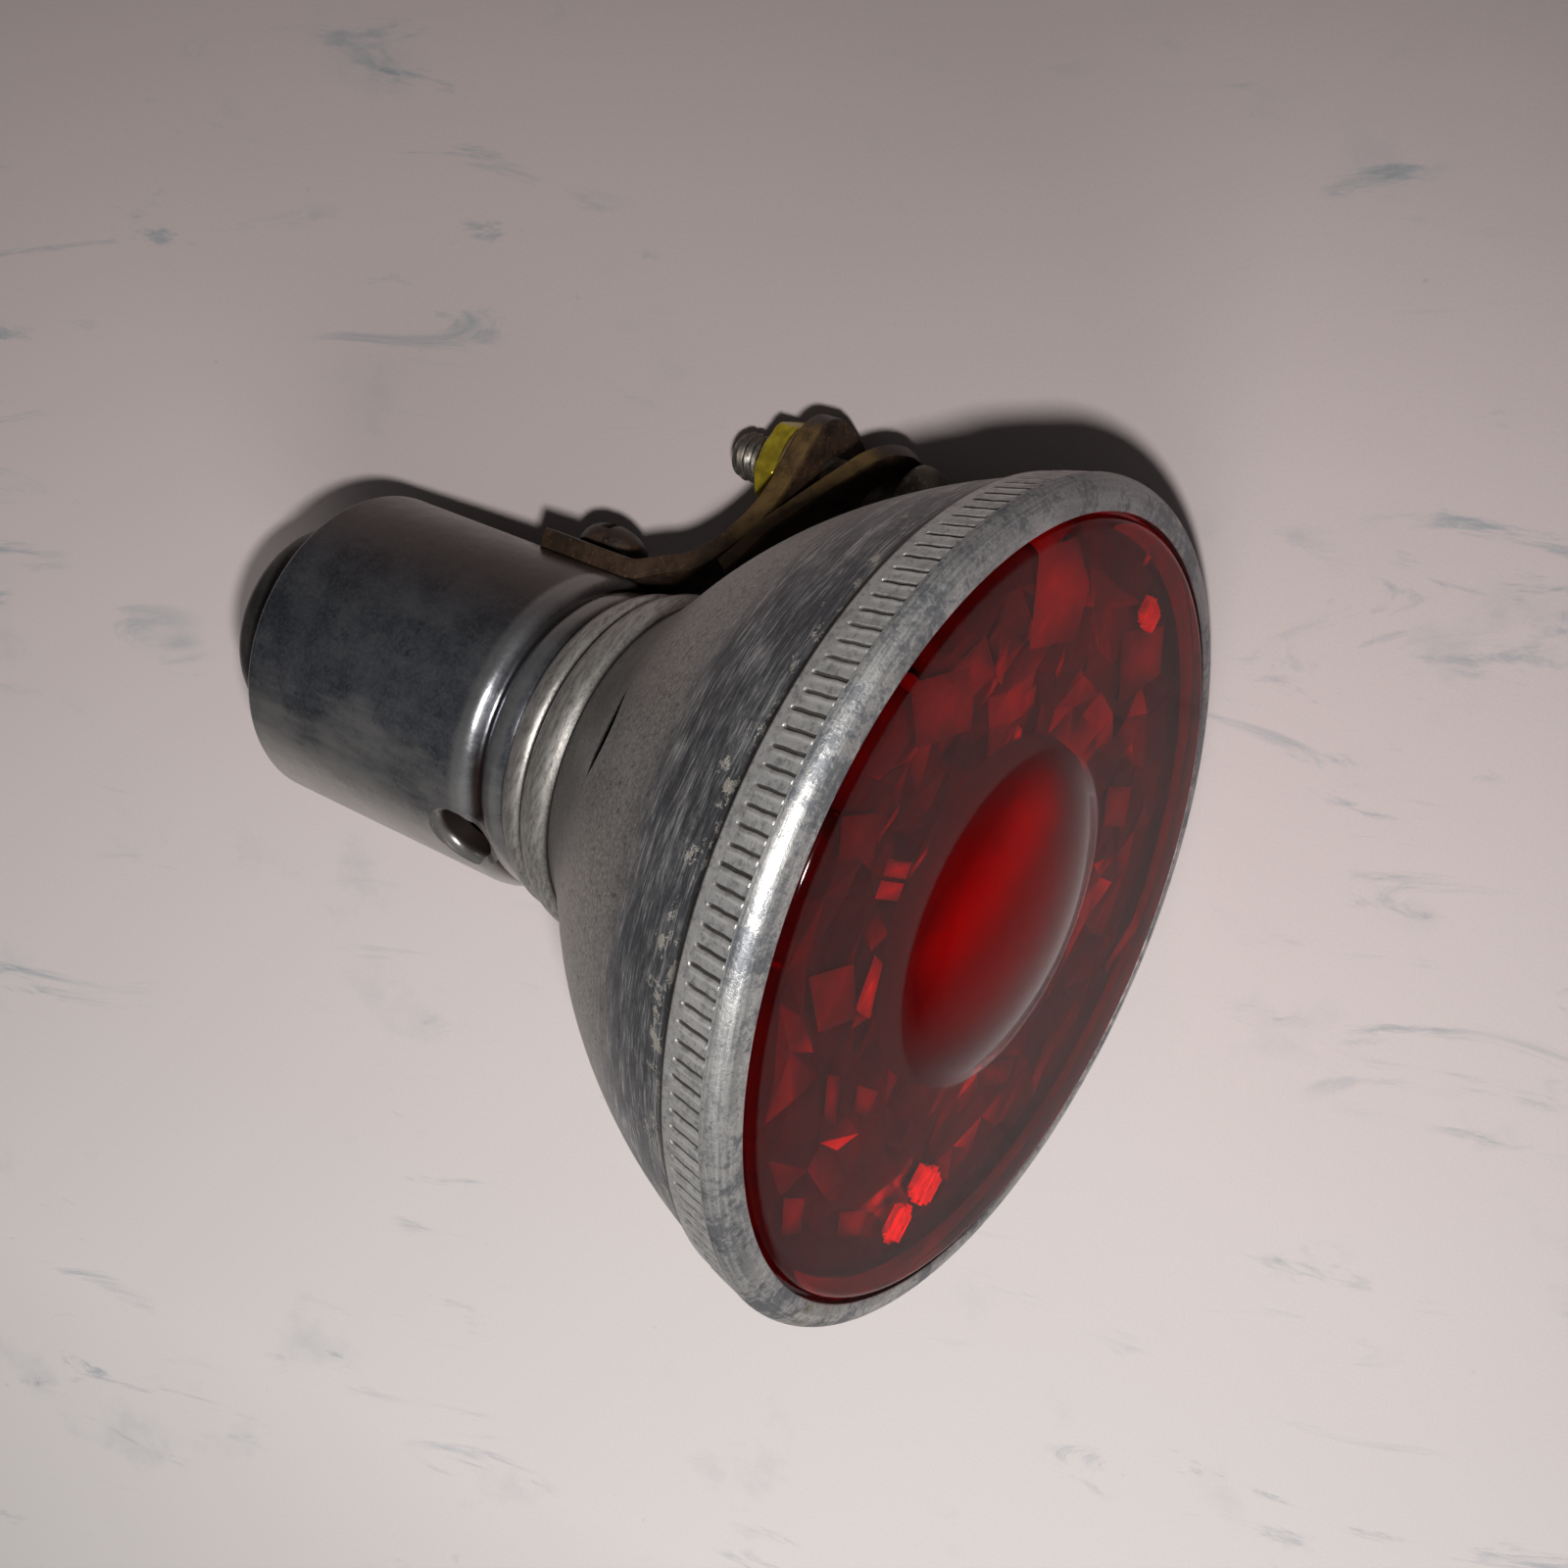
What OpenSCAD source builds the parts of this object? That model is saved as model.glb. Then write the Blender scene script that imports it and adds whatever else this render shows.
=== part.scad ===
// Bell-shaped bicycle rear light with a screwed-on lens ring and a folded clamp bracket.
// The lamp axis lies along Y, the lens faces -Y and the bracket points to -Z. All sizes in mm.
// Stations are distances along the lamp axis, counted from the front of the coin edge, lens side positive.

/* [Lens ring] */
// Outer diameter over the crest of the ring
ring_d = 60.6; // [60.2:0.1:61]
// Drop in radius from the crest to the ring's rear edge
ring_taper = 0.95; // [0.85:0.05:1.05]
// Length of the band that carries the coin edge
ring_band = 3.68; // [3.5:0.01:3.8]
// Width of the lip that holds the lens, from the crest inwards
lip_width = 2.2; // [2.1:0.05:2.3]
// Number of strokes in the coin edge
stroke_count = 96; // [90:1:100]
// Depth of one stroke
stroke_depth = 0.3; // [0.2:0.05:0.35]

/* [Lens] */
// Height of the lens face above the front of the coin edge
lens_face = 1.94; // [1.9:0.02:2]
// Diameter of the domed bull's eye
dome_d = 23.9; // [23:0.1:25]
// Height of the bull's eye above the face
dome_height = 2.7; // [2:0.1:3.2]
// Depth of the moulded prisms in the back of the lens
prism_depth = 0.8; // [0.5:0.1:1]
// Number of prism rings
prism_rings = 5; // [4:1:6]
// Number of prism spokes
prism_spokes = 36; // [30:1:40]

/* [Shell] */
// Thickness of the spun sheet
wall = 0.8; // [0.7:0.05:0.9]
// Outer diameter of the tail tube
tail_d = 24.86; // [24.8:0.02:25]
// Length of the tail tube behind the coin edge
tail_length = 58.7; // [57:0.1:60]
// Length of the vent slit
slit_length = 6.4; // [5:0.1:7]
// Width of the vent slit
slit_width = 0.8; // [0.6:0.1:1]

/* [Cable entry] */
// Diameter of the cable hole
cable_hole_d = 4.6; // [4.4:0.1:4.8]
// Station of the cable hole
cable_hole_at = -37.2; // [-37.4:0.1:-37]

/* [End plug] */
// Diameter of the plug where it stands out of the tail
plug_d = 17; // [16:0.1:18]
// Length of the plug behind the tail
plug_stand = 6.6; // [6:0.1:7]

/* [Bulb and socket] */
// Outer diameter of the bulb cap
cap_d = 9.48; // [9.4:0.02:9.5]
// Diameter of the bulb glass
globe_d = 10.4; // [10:0.1:11]

/* [Bracket] */
// Width of the bracket strip
strip_width = 10; // [9.5:0.1:10.5]
// Thickness of the strip
strip_thick = 1.5; // [1.4:0.05:1.6]
// Thickness of the leaf
leaf_thick = 1.2; // [1.1:0.05:1.3]
// Distance of the clamp bolt from the lamp axis
bolt_out = 25.5; // [25.4:0.1:25.6]
// Diameter of the clamp bolt
bolt_d = 3.9; // [3.86:0.02:3.92]
// Width of the clamp nut across its flats
nut_flats = 7; // [6.8:0.1:7.2]

/* [Hidden] */
$fn = 96;
// gap of a part that turns or slides on another
running = 0.05;
// gap that keeps two bodies just apart where they meet
touch = 0.03;

// ring and lens stack
ring_crest = ring_d / 2;
ring_rear = ring_crest - ring_taper;
ring_wall = 0.5;
skirt_bore = ring_rear - ring_wall;
lip_r = ring_crest - lip_width;
lip_rear = 0.95;
lip_front = 1.67;
crest_round = 1.4;
crest_at = 0.15;
stroke_half = 0.32;
stroke_length = 2.8;
band_step = 0.12;
band_crest = ring_crest - band_step;
band_tilt = atan((band_crest - ring_rear) / ring_band);
lens_back = -1;
flange_front = lip_rear - running;
lens_play = 0.25;
lens_r = skirt_bore - lens_play;
lens_boss_r = lip_r - 0.3;
lens_edge = 0.75;
dome_r = (pow(dome_d / 2, 2) + pow(dome_height, 2)) / (2 * dome_height);
prism_from = dome_d / 2 + 1.2;
prism_to = lens_boss_r - 1.15;
prism_pitch = (prism_to - prism_from) / prism_rings;
spoke_half = 0.9;
gasket_thick = 0.6;

// bell
bell_r = 42.51;
bell_start = [16.71, -23];
bell_step = 0.38;
rim_step = -ring_band - 0.12;
rim_gap = 0.55;
rim_r = skirt_bore - rim_gap;
bell_edge = [ring_rear - bell_step, rim_step];
bell_chord = bell_edge - bell_start;
bell_centre = (bell_start + bell_edge) / 2
    + sqrt(pow(bell_r / norm(bell_chord), 2) - 0.25) * [-bell_chord[1], bell_chord[0]];
bell_from = atan2(bell_start[1] - bell_centre[1], bell_start[0] - bell_centre[0]);
bell_to = atan2(bell_edge[1] - bell_centre[1], bell_edge[0] - bell_centre[0]);
bell_inner_to = -acos((rim_r - wall - bell_centre[0]) / (bell_r - wall));
rim_front = lens_back - gasket_thick - running;
thread_r = skirt_bore - running;
neck_bore = 11.35;
neck_rear = -32.7;
neck_front = -27.4;
slit_at = -20.6;
slit_angle = 7.3;

// tail
tail_r = tail_d / 2;
tail_bore = tail_r - wall;
tail_rear = -tail_length;
shoulder_at = -37;
step_at = -32.4;
seat_r = 10.9;
groove_bore = 10.55;
sleeve_lip_r = 10.2;
sleeve_lip_rear = -28;
cable_angle = 67;
cable_lip_inner = 9.9;
cable_wall_top = 11.3;
cable_lip_r = cable_hole_d / 2 + 0.7;

// socket, contact and bulb
socket_r = 4.8;
socket_outer = 5.3;
socket_rear = -31.9;
socket_front = -21;
flange_rear = -28.5;
carrier_r = seat_r - running;
carrier_cone_rear = -34.4;
boss_rear = -41;
boss_half = 4;
floor_front = -32.2;
floor_rear = -33.4;
nose_r = 1.2;
head_r = 1.85;
head_front = -34.6;
head_rear = -35.6;
bulb_rear = -31.7;
cap_rear = -30.6;
cap_front = -21.8;
globe_at = -14.6;
cap_skin = 0.3;
glass_skin = 0.5;
bar_thick = 0.8;
terminal_at = -5;
terminal_r = 1.35;
spring_turns = 5;
spring_r = 1.45;
spring_wire = 0.4;

// bracket
foot_screw_at = -41.5;
foot_rear = -45;
foot_front = -34.6;
foot_screw_r = 1.7;
foot_head_r = 3.3;
foot_head_top = tail_r + strip_thick + 2.87;
foot_nut_half = 2.9;
foot_nut_thick = 2.2;
foot_nut_top = sqrt(pow(tail_bore, 2) - pow(foot_nut_half, 2)) - touch;
tab_rear = -28.5;
tab_front = tab_rear + strip_thick;
tab_foot = 23.3;
tab_top = 29.8;
tab_corner = 3.6;
bend_side = [-29.3, tail_r + 3.07];
bend_top = [-28.3, tail_r + 5.07];
leaf_root = [-27.6, tail_r + 6.77];
leaf_lean = 33.4;
leaf_length = 12.1;
leaf_corner = 4;
bolt_r = bolt_d / 2;
bolt_hole_r = bolt_r + 0.15;
bolt_tip = -35.7;
bolt_head_r = 3.4;
bolt_head_at = -19.6;
washer_r = 4.4;
washer_thick = 0.8;
washer_foot = bolt_out - washer_r - 0.1;
nut_rear = -31.7;

// Points of an arc from angle a0 to a1 in n steps
function arc(c, r, a0, a1, n) =
    [for (i = [0 : n]) c + r * [cos(a0 + (a1 - a0) * i / n), sin(a0 + (a1 - a0) * i / n)]];

// Puts the lamp axis on Y with the clamp bolt's seat at the origin
module lamp() {
    translate([0, tab_rear, bolt_out])
        rotate([90, 0, 0])
            children();
}

// A turned solid from points of radius and station
module turned(points) {
    rotate_extrude()
        polygon(points);
}

// A cylinder along the lamp axis between two stations
module rod(r, rear, front) {
    translate([0, 0, rear])
        cylinder(r = r, h = front - rear);
}

// Turns a child so that its height points straight out of the lamp at a station and an angle
module outward(station, angle) {
    rotate([0, 0, angle])
        translate([0, 0, station])
            rotate([0, 90, 0])
                children();
}

// Places a child on the clamp bolt's axis
module at_bolt() {
    translate([0, -bolt_out, 0])
        children();
}

// A bent strip from points of station and radius, as wide as the strip
module bent(points) {
    multmatrix([[0, 0, 1, 0], [0, -1, 0, 0], [1, 0, 0, 0]])
        linear_extrude(strip_width, center = true)
            polygon(points);
}

// Blank with two rounded corners at its far end, standing from the middle of its foot
module round_end(length, corner, depth) {
    flat = strip_width / 2 - corner;
    linear_extrude(depth)
        intersection() {
            translate([-strip_width / 2, 0])
                square([strip_width, length]);
            union() {
                translate([-strip_width / 2, 0])
                    square([strip_width, length - corner]);
                translate([-flat, 0])
                    square([2 * flat, length]);
                for (side = [-1, 1])
                    translate([side * flat, length - corner])
                        circle(r = corner);
            }
        }
}

// Spun bell with its vent slit, the rolled neck and the threaded rim
module bell_shell() {
    outer = concat(
        [[neck_bore, neck_rear], [11.75, neck_rear], [12.1, -32.4], [12.4, -31.9], [12.55, -31.3],
         [12.5, -30.9], [12.32, -30.62], [12.1, -30.5], [12.3, -30.35], [12.7, -30.1],
         [13.02, -29.7], [13.25, -29.1], [13.32, -28.5], [13.22, -28], [13.04, -27.6],
         [12.92, neck_front], [13.2, -26.9], [13.72, -26.2], [14.34, -25.5], [15.1, -24.7],
         [15.9, -23.9]],
        arc(bell_centre, bell_r, bell_from, bell_to, 14));
    rim = concat(
        [[rim_r, rim_step]],
        [for (back = [1, 0],
              p = [[rim_r, -0.75], [thread_r, -0.55], [thread_r, -0.3], [rim_r, -0.1]])
            [p[0], p[1] - back + rim_front]],
        [[rim_r, rim_front], [rim_r - wall, rim_front]]);
    inner = concat(
        arc(bell_centre, bell_r - wall, bell_inner_to, bell_from, 14),
        [[15.35, -23.3], [14.55, -24.1], [13.8, -24.9], [13.1, -25.7], [12.2, -26.5],
         [neck_bore, -27.05]]);
    slit_curve = (pow(slit_length / 2, 2) + pow(slit_width / 2, 2)) / slit_width;
    color([0.70, 0.70, 0.69])
        lamp()
            difference() {
                turned(concat(outer, rim, inner));
                outward(slit_at, slit_angle)
                    translate([0, 0, 15])
                        intersection_for (side = [-1, 1])
                            translate([side * (slit_curve - slit_width / 2), 0, 0])
                                cylinder(r = slit_curve, h = 8);
            }
}

// Tail tube with its rolled groove and bead, the seat of the socket and the cable hole
module tail_sleeve() {
    outer = [[tail_r - 0.4, tail_rear], [tail_r - 0.12, tail_rear + 0.12], [tail_r, tail_rear + 0.4],
        [tail_r, shoulder_at], [tail_r - 0.08, -36.5], [tail_r - 0.3, -36.1], [tail_r - 0.63, -35.8],
        [11.45, -35.62], [11.3, -35.5], [11.3, -35.2], [11.5, -35], [11.7, -34.6],
        [11.78, -34], [11.72, -33.4], [11.55, -32.95], [neck_bore, neck_rear - touch],
        [neck_bore, neck_front]];
    bore = [[sleeve_lip_r, neck_front], [sleeve_lip_r, sleeve_lip_rear], [seat_r, sleeve_lip_rear],
        [seat_r, step_at], [groove_bore, step_at], [groove_bore, -36], [10.8, -36.15], [11.3, -36.6],
        [tail_bore, -37.4], [tail_bore, tail_rear]];
    color([0.42, 0.43, 0.46])
        lamp()
            difference() {
                intersection() {
                    union() {
                        turned(concat(outer, bore));
                        outward(cable_hole_at, cable_angle)
                            translate([0, 0, cable_lip_inner])
                                cylinder(r = cable_lip_r, h = 2);
                    }
                    turned(concat(outer, [[0, neck_front], [0, tail_rear]]));
                }
                outward(cable_hole_at, cable_angle)
                    turned([[0, cable_lip_inner - 1], [cable_hole_d / 2, cable_lip_inner - 1],
                        [cable_hole_d / 2, cable_wall_top],
                        [cable_hole_d / 2 + 2, cable_wall_top + 2], [0, cable_wall_top + 2]]);
                outward(foot_screw_at, -90)
                    cylinder(r = foot_screw_r + 0.1, h = tail_r + 1);
            }
}

// Hollow moulded plug that closes the tail
module tail_plug() {
    spigot_front = tail_rear + 6.2;
    spigot_r = tail_bore - running;
    end = tail_rear - plug_stand;
    plug_r = plug_d / 2;
    color([0.09, 0.08, 0.08])
        lamp()
            turned([[plug_r - 1.5, spigot_front], [spigot_r - 0.3, spigot_front],
                [spigot_r, spigot_front - 0.3], [spigot_r, tail_rear], [plug_r + 0.3, tail_rear],
                [plug_r, tail_rear - 0.3], [plug_r, end + 1.1], [plug_r - 0.35, end + 0.6],
                [plug_r - 1.1, end + 0.25], [plug_r - 3, end + 0.06], [0, end],
                [0, end + 1.6], [plug_r - 1.5, end + 1.6]]);
}

// Screwed ring with its rolled lip and the coin edge
module lens_ring() {
    color([0.72, 0.72, 0.71])
        lamp()
            difference() {
                turned(concat(
                    [[skirt_bore, -ring_band], [ring_rear - 0.12, -ring_band],
                     [ring_rear, -ring_band + 0.12], [band_crest, -0.03], [ring_crest, 0]],
                    arc([ring_crest - crest_round, crest_at], crest_round, 0, 80, 8),
                    [[lip_r + 0.12, lip_front], [lip_r, lip_front - 0.12],
                     [lip_r, lip_rear], [skirt_bore, lip_rear]]));
                for (i = [0 : stroke_count - 1])
                    rotate([0, 0, 360 * i / stroke_count])
                        translate([band_crest, 0, -0.03])
                            rotate([0, 180 + band_tilt, 0])
                                linear_extrude(stroke_length)
                                    polygon([[stroke_depth, 0], [-stroke_depth, -2 * stroke_half],
                                        [-stroke_depth, 2 * stroke_half]]);
            }
}

// Moulded lens with a domed bull's eye in front and crossed prisms behind
module lens() {
    front = concat(
        arc([0, lens_face + dome_height - dome_r], dome_r, 90, 90 - asin(dome_d / 2 / dome_r), 10),
        arc([lens_boss_r - lens_edge, lens_face - lens_edge], lens_edge, 90, 0, 5),
        [[lens_boss_r, flange_front], [lens_r, flange_front], [lens_r, lens_back]]);
    prisms = [for (i = [prism_rings * 2 : -1 : 0])
        [prism_from + i * prism_pitch / 2, lens_back + (i % 2) * prism_depth]];
    color([0.55, 0.02, 0.03, 0.6])
        lamp()
            difference() {
                turned(concat(front, prisms, [[0, lens_back]]));
                for (i = [0 : prism_spokes - 1])
                    outward(lens_back, 360 * i / prism_spokes)
                        translate([0, 0, prism_from])
                            linear_extrude(prism_to - prism_from)
                                polygon([[-prism_depth, 0], [0.1, -spoke_half], [0.1, spoke_half]]);
            }
}

// Soft ring between the lens and the rim of the bell
module lens_gasket() {
    color([0.16, 0.14, 0.12])
        lamp()
            difference() {
                rod(lens_r - 0.1, lens_back - gasket_thick, lens_back);
                rod(prism_to + 0.1, lens_back - gasket_thick - 1, lens_back + 1);
            }
}

// Blown glass of the bulb
module bulb_glass() {
    globe_r = globe_d / 2;
    inside = globe_r - glass_skin;
    neck_r = 4.1;
    color([0.9, 0.92, 0.92, 0.3])
        lamp()
            turned(concat(
                [[neck_r - glass_skin, cap_front - 2], [neck_r, cap_front - 2]],
                arc([0, globe_at], globe_r, -acos(neck_r / globe_r), 90, 16),
                arc([0, globe_at], inside, 90, -acos((neck_r - glass_skin) / inside), 16)));
}

// Screwed cap of the bulb
module bulb_cap() {
    cap_r = cap_d / 2;
    color([0.78, 0.66, 0.40])
        lamp()
            turned([[3.4, cap_rear], [cap_r - 0.5, cap_rear], [cap_r, cap_rear + 0.5],
                [cap_r, cap_front - 0.4], [cap_r - cap_skin, cap_front], [4.1, cap_front],
                [4.1, cap_front - 2.1], [cap_r - cap_skin, cap_front - 2.4],
                [cap_r - cap_skin, cap_rear + 0.8], [3.4, cap_rear + 0.5]]);
}

// Dark glass cone between the cap and the tip
module bulb_insulator() {
    color([0.08, 0.08, 0.09])
        lamp()
            turned([[0, bulb_rear + 0.4], [2, bulb_rear + 0.4], [3.4, cap_rear], [3.4, cap_rear + 0.5],
                [0, cap_rear + 0.5]]);
}

// Solder tip of the bulb
module bulb_tip() {
    color([0.75, 0.75, 0.74])
        lamp()
            turned([[0, bulb_rear], [0.8, bulb_rear], [1.4, bulb_rear + 0.15],
                [1.6, bulb_rear + 0.4], [0, bulb_rear + 0.4]]);
}

// Glass bead, two supports and the filament across them
module bulb_filament() {
    half = 1.6;
    wire = 0.15;
    top = globe_at + 1.2;
    color([0.55, 0.55, 0.56])
        lamp() {
            rod(1.5, cap_rear + 0.5, cap_rear + 5.5);
            for (side = [-1, 1])
                translate([side * 0.9, 0, 0])
                    rod(wire, cap_rear + 5, globe_at - 2);
            for (side = [-1, 1])
                translate([side * half, 0, 0])
                    rod(wire, globe_at - 2.1, top);
            translate([0, 0, globe_at - 2])
                rotate([0, 90, 0])
                    cylinder(r = 0.6, h = 2 * half + 0.6, center = true);
            translate([0, 0, top])
                rotate([0, 90, 0])
                    cylinder(r = 0.2, h = 2 * half, center = true);
        }
}

// Socket tube with the flange that is trapped under the sleeve's lip
module socket_shell() {
    color([0.74, 0.63, 0.38])
        lamp()
            turned([[socket_r, socket_rear], [socket_outer, socket_rear], [socket_outer, flange_rear],
                [carrier_r, flange_rear], [carrier_r, sleeve_lip_rear - touch],
                [socket_outer, sleeve_lip_rear - touch], [socket_outer, socket_front - 0.3],
                [socket_outer + 0.3, socket_front], [socket_r + 0.3, socket_front],
                [socket_r, socket_front - 0.3]]);
}

// Insulating body behind the socket, with the bore of the centre contact
module socket_carrier() {
    color([0.24, 0.13, 0.08])
        lamp()
            difference() {
                union() {
                    turned([[0, flange_rear], [carrier_r, flange_rear], [carrier_r, step_at],
                        [groove_bore - running, step_at], [carrier_r - 1.95, carrier_cone_rear],
                        [0, carrier_cone_rear]]);
                    translate([terminal_at - 2.5, -boss_half, boss_rear])
                        cube([11.5, 2 * boss_half, carrier_cone_rear - boss_rear + 0.5]);
                }
                rod(socket_outer, floor_front, flange_rear + 1);
                rod(nose_r + running, floor_rear - 1, floor_front + 1);
                rod(head_r + running, boss_rear - 1, floor_rear);
                translate([terminal_at, 0, 0])
                    rod(terminal_r, boss_rear - 1, boss_rear + 4.5);
            }
}

// Sprung centre contact
module contact_plunger() {
    color([0.80, 0.66, 0.36])
        lamp()
            turned([[0, head_rear], [head_r, head_rear], [head_r, head_front], [nose_r, head_front],
                [nose_r, bulb_rear - touch - 0.3], [nose_r - 0.3, bulb_rear - touch],
                [0, bulb_rear - touch]]);
}

// Coil spring behind the centre contact
module contact_spring() {
    length = head_rear - boss_rear;
    color([0.62, 0.62, 0.62])
        lamp()
            translate([0, 0, boss_rear])
                linear_extrude(length, twist = -360 * spring_turns, slices = 14 * spring_turns, $fn = 12)
                    polygon(concat(
                        arc([0, 0], spring_r + spring_wire / 2, 0, 130, 5),
                        arc([0, 0], spring_r - spring_wire / 2, 130, 0, 5)));
}

// Brass bar that joins the spring to the cable terminal
module terminal_bar() {
    color([0.80, 0.67, 0.38])
        lamp()
            difference() {
                translate([terminal_at - 3, -2.5, boss_rear - bar_thick])
                    cube([10.5, 5, bar_thick]);
                translate([terminal_at, 0, 0])
                    rod(terminal_r, boss_rear - 2, boss_rear + 1);
            }
}

// Slotted screw that clamps the cable's end
module terminal_screw() {
    head_at = boss_rear - bar_thick;
    color([0.78, 0.66, 0.40])
        lamp()
            translate([terminal_at, 0, 0])
                difference() {
                    turned([[0, head_at - 1.9], [2.2, head_at - 1.9], [2.6, head_at - 1.5],
                        [2.6, head_at], [terminal_r, head_at], [terminal_r, boss_rear + 4],
                        [terminal_r - 0.4, boss_rear + 4.4], [0, boss_rear + 4.4]]);
                    translate([-4, -0.35, head_at - 3])
                        cube([8, 0.7, 2]);
                }
}

// Folded strip: saddle foot on the tail, bend and upright tab
module bracket_strip() {
    foot_top = tail_r + strip_thick;
    bend = [[-36.5, tail_r + 0.4], [-33.6, tail_r + 0.47], [-31.9, tail_r + 0.77],
        [-30.6, tail_r + 1.67], bend_side, bend_top, leaf_root, [tab_front - 0.12, tab_foot - 2.1],
        [tab_front, tab_foot], [tab_rear, tab_foot], [tab_rear, washer_foot],
        [tab_rear - 0.3, washer_foot - 0.75], [tab_rear - 0.7, tail_r + 6.57],
        [tab_rear - 1.3, tail_r + 5.27], [-30.8, tail_r + 3.57], [-31.9, tail_r + 2.47],
        [-33.4, foot_top + 0.47], [-36.5, foot_top]];
    color([0.36, 0.24, 0.15])
        lamp()
            difference() {
                union() {
                    intersection() {
                        difference() {
                            rod(foot_top, foot_rear, foot_front);
                            rod(tail_r, foot_rear - 1, foot_front + 1);
                        }
                        translate([-strip_width / 2, -20, foot_rear - 1])
                            cube([strip_width, 20, 20]);
                    }
                    bent(bend);
                    translate([0, -tab_foot, tab_rear])
                        mirror([0, 1, 0])
                            round_end(tab_top - tab_foot, tab_corner, strip_thick);
                }
                outward(foot_screw_at, -90)
                    cylinder(r = foot_screw_r + 0.1, h = foot_top + 1);
                at_bolt()
                    rod(bolt_hole_r, tab_rear - 1, tab_front + 1);
            }
}

// Rounded leaf that leans away from the tab
module bracket_leaf() {
    along = [sin(leaf_lean), cos(leaf_lean)];
    across = leaf_thick * [cos(leaf_lean), -sin(leaf_lean)];
    end = leaf_root + (leaf_length + 1) * along;
    color([0.40, 0.27, 0.16])
        lamp()
            difference() {
                intersection() {
                    bent([bend_side, bend_top, leaf_root, end, end + across,
                        leaf_root + across, bend_top + [1.1, -0.5], bend_side + [1.1, -0.6]]);
                    translate([0, -leaf_root[1], leaf_root[0]])
                        rotate([-leaf_lean, 0, 0])
                            translate([0, 8, -1.5])
                                mirror([0, 1, 0])
                                    round_end(leaf_length + 8, leaf_corner, 6);
                }
                at_bolt()
                    rod(bolt_hole_r, -30, -15);
            }
}

// Round-headed screw that holds the foot on the tail
module foot_screw() {
    seat = tail_r + strip_thick;
    color([0.38, 0.25, 0.16])
        lamp()
            outward(foot_screw_at, -90)
                difference() {
                    turned([[0, 8.4], [foot_screw_r - 0.4, 8.4], [foot_screw_r, 8.8],
                        [foot_screw_r, seat], [foot_head_r, seat], [foot_head_r, seat + 1],
                        [foot_head_r - 0.5, seat + 1.9], [foot_head_r - 1.3, seat + 2.5],
                        [foot_head_r - 2.2, foot_head_top - 0.08], [0, foot_head_top]]);
                    translate([-4, -0.4, foot_head_top - 1.1])
                        cube([8, 0.8, 2]);
                }
}

// Square nut inside the tail
module foot_nut() {
    color([0.45, 0.42, 0.38])
        lamp()
            outward(foot_screw_at, -90)
                translate([0, 0, foot_nut_top - foot_nut_thick])
                    difference() {
                        translate([-foot_nut_half, -foot_nut_half, 0])
                            cube([2 * foot_nut_half, 2 * foot_nut_half, foot_nut_thick]);
                        translate([0, 0, -1])
                            cylinder(r = foot_screw_r, h = foot_nut_thick + 2);
                    }
}

// Clamp bolt with its domed head behind the leaf
module clamp_bolt() {
    color([0.66, 0.66, 0.64])
        lamp()
            at_bolt()
                turned([[0, bolt_tip], [0.9, bolt_tip + 0.1], [1.5, bolt_tip + 0.4],
                    [bolt_r, bolt_tip + 1.1], [bolt_r, bolt_head_at], [bolt_head_r, bolt_head_at],
                    [bolt_head_r, bolt_head_at + 0.7], [bolt_head_r - 0.5, bolt_head_at + 1.3],
                    [bolt_head_r - 1.5, bolt_head_at + 1.9], [0, bolt_head_at + 2.2]]);
}

// Flat washer between the tab and the nut
module clamp_washer() {
    color([0.70, 0.60, 0.28])
        lamp()
            at_bolt()
                difference() {
                    rod(washer_r, tab_rear - touch - washer_thick, tab_rear - touch);
                    rod(bolt_r + 2 * running, tab_rear - 2, tab_rear + 1);
                }
}

// Hexagon nut with chamfered corners
module clamp_nut() {
    front = tab_rear - washer_thick - 2 * touch;
    corner = nut_flats / 2 / cos(30);
    color([0.76, 0.66, 0.24])
        lamp()
            at_bolt()
                difference() {
                    intersection() {
                        translate([0, 0, nut_rear])
                            linear_extrude(front - nut_rear)
                                circle(r = corner, $fn = 6);
                        turned([[0, nut_rear], [corner - 0.5, nut_rear], [corner, nut_rear + 0.35],
                            [corner, front - 0.35], [corner - 0.5, front], [0, front]]);
                    }
                    rod(bolt_r + running, nut_rear - 1, front + 1);
                }
}

bell_shell();
tail_sleeve();
tail_plug();
lens_ring();
lens();
lens_gasket();
bulb_glass();
bulb_cap();
bulb_insulator();
bulb_tip();
bulb_filament();
socket_shell();
socket_carrier();
contact_plunger();
contact_spring();
terminal_bar();
terminal_screw();
bracket_strip();
bracket_leaf();
foot_screw();
foot_nut();
clamp_bolt();
clamp_washer();
clamp_nut();
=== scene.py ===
import math

import bmesh
import bpy
from mathutils import Matrix, Vector


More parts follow.
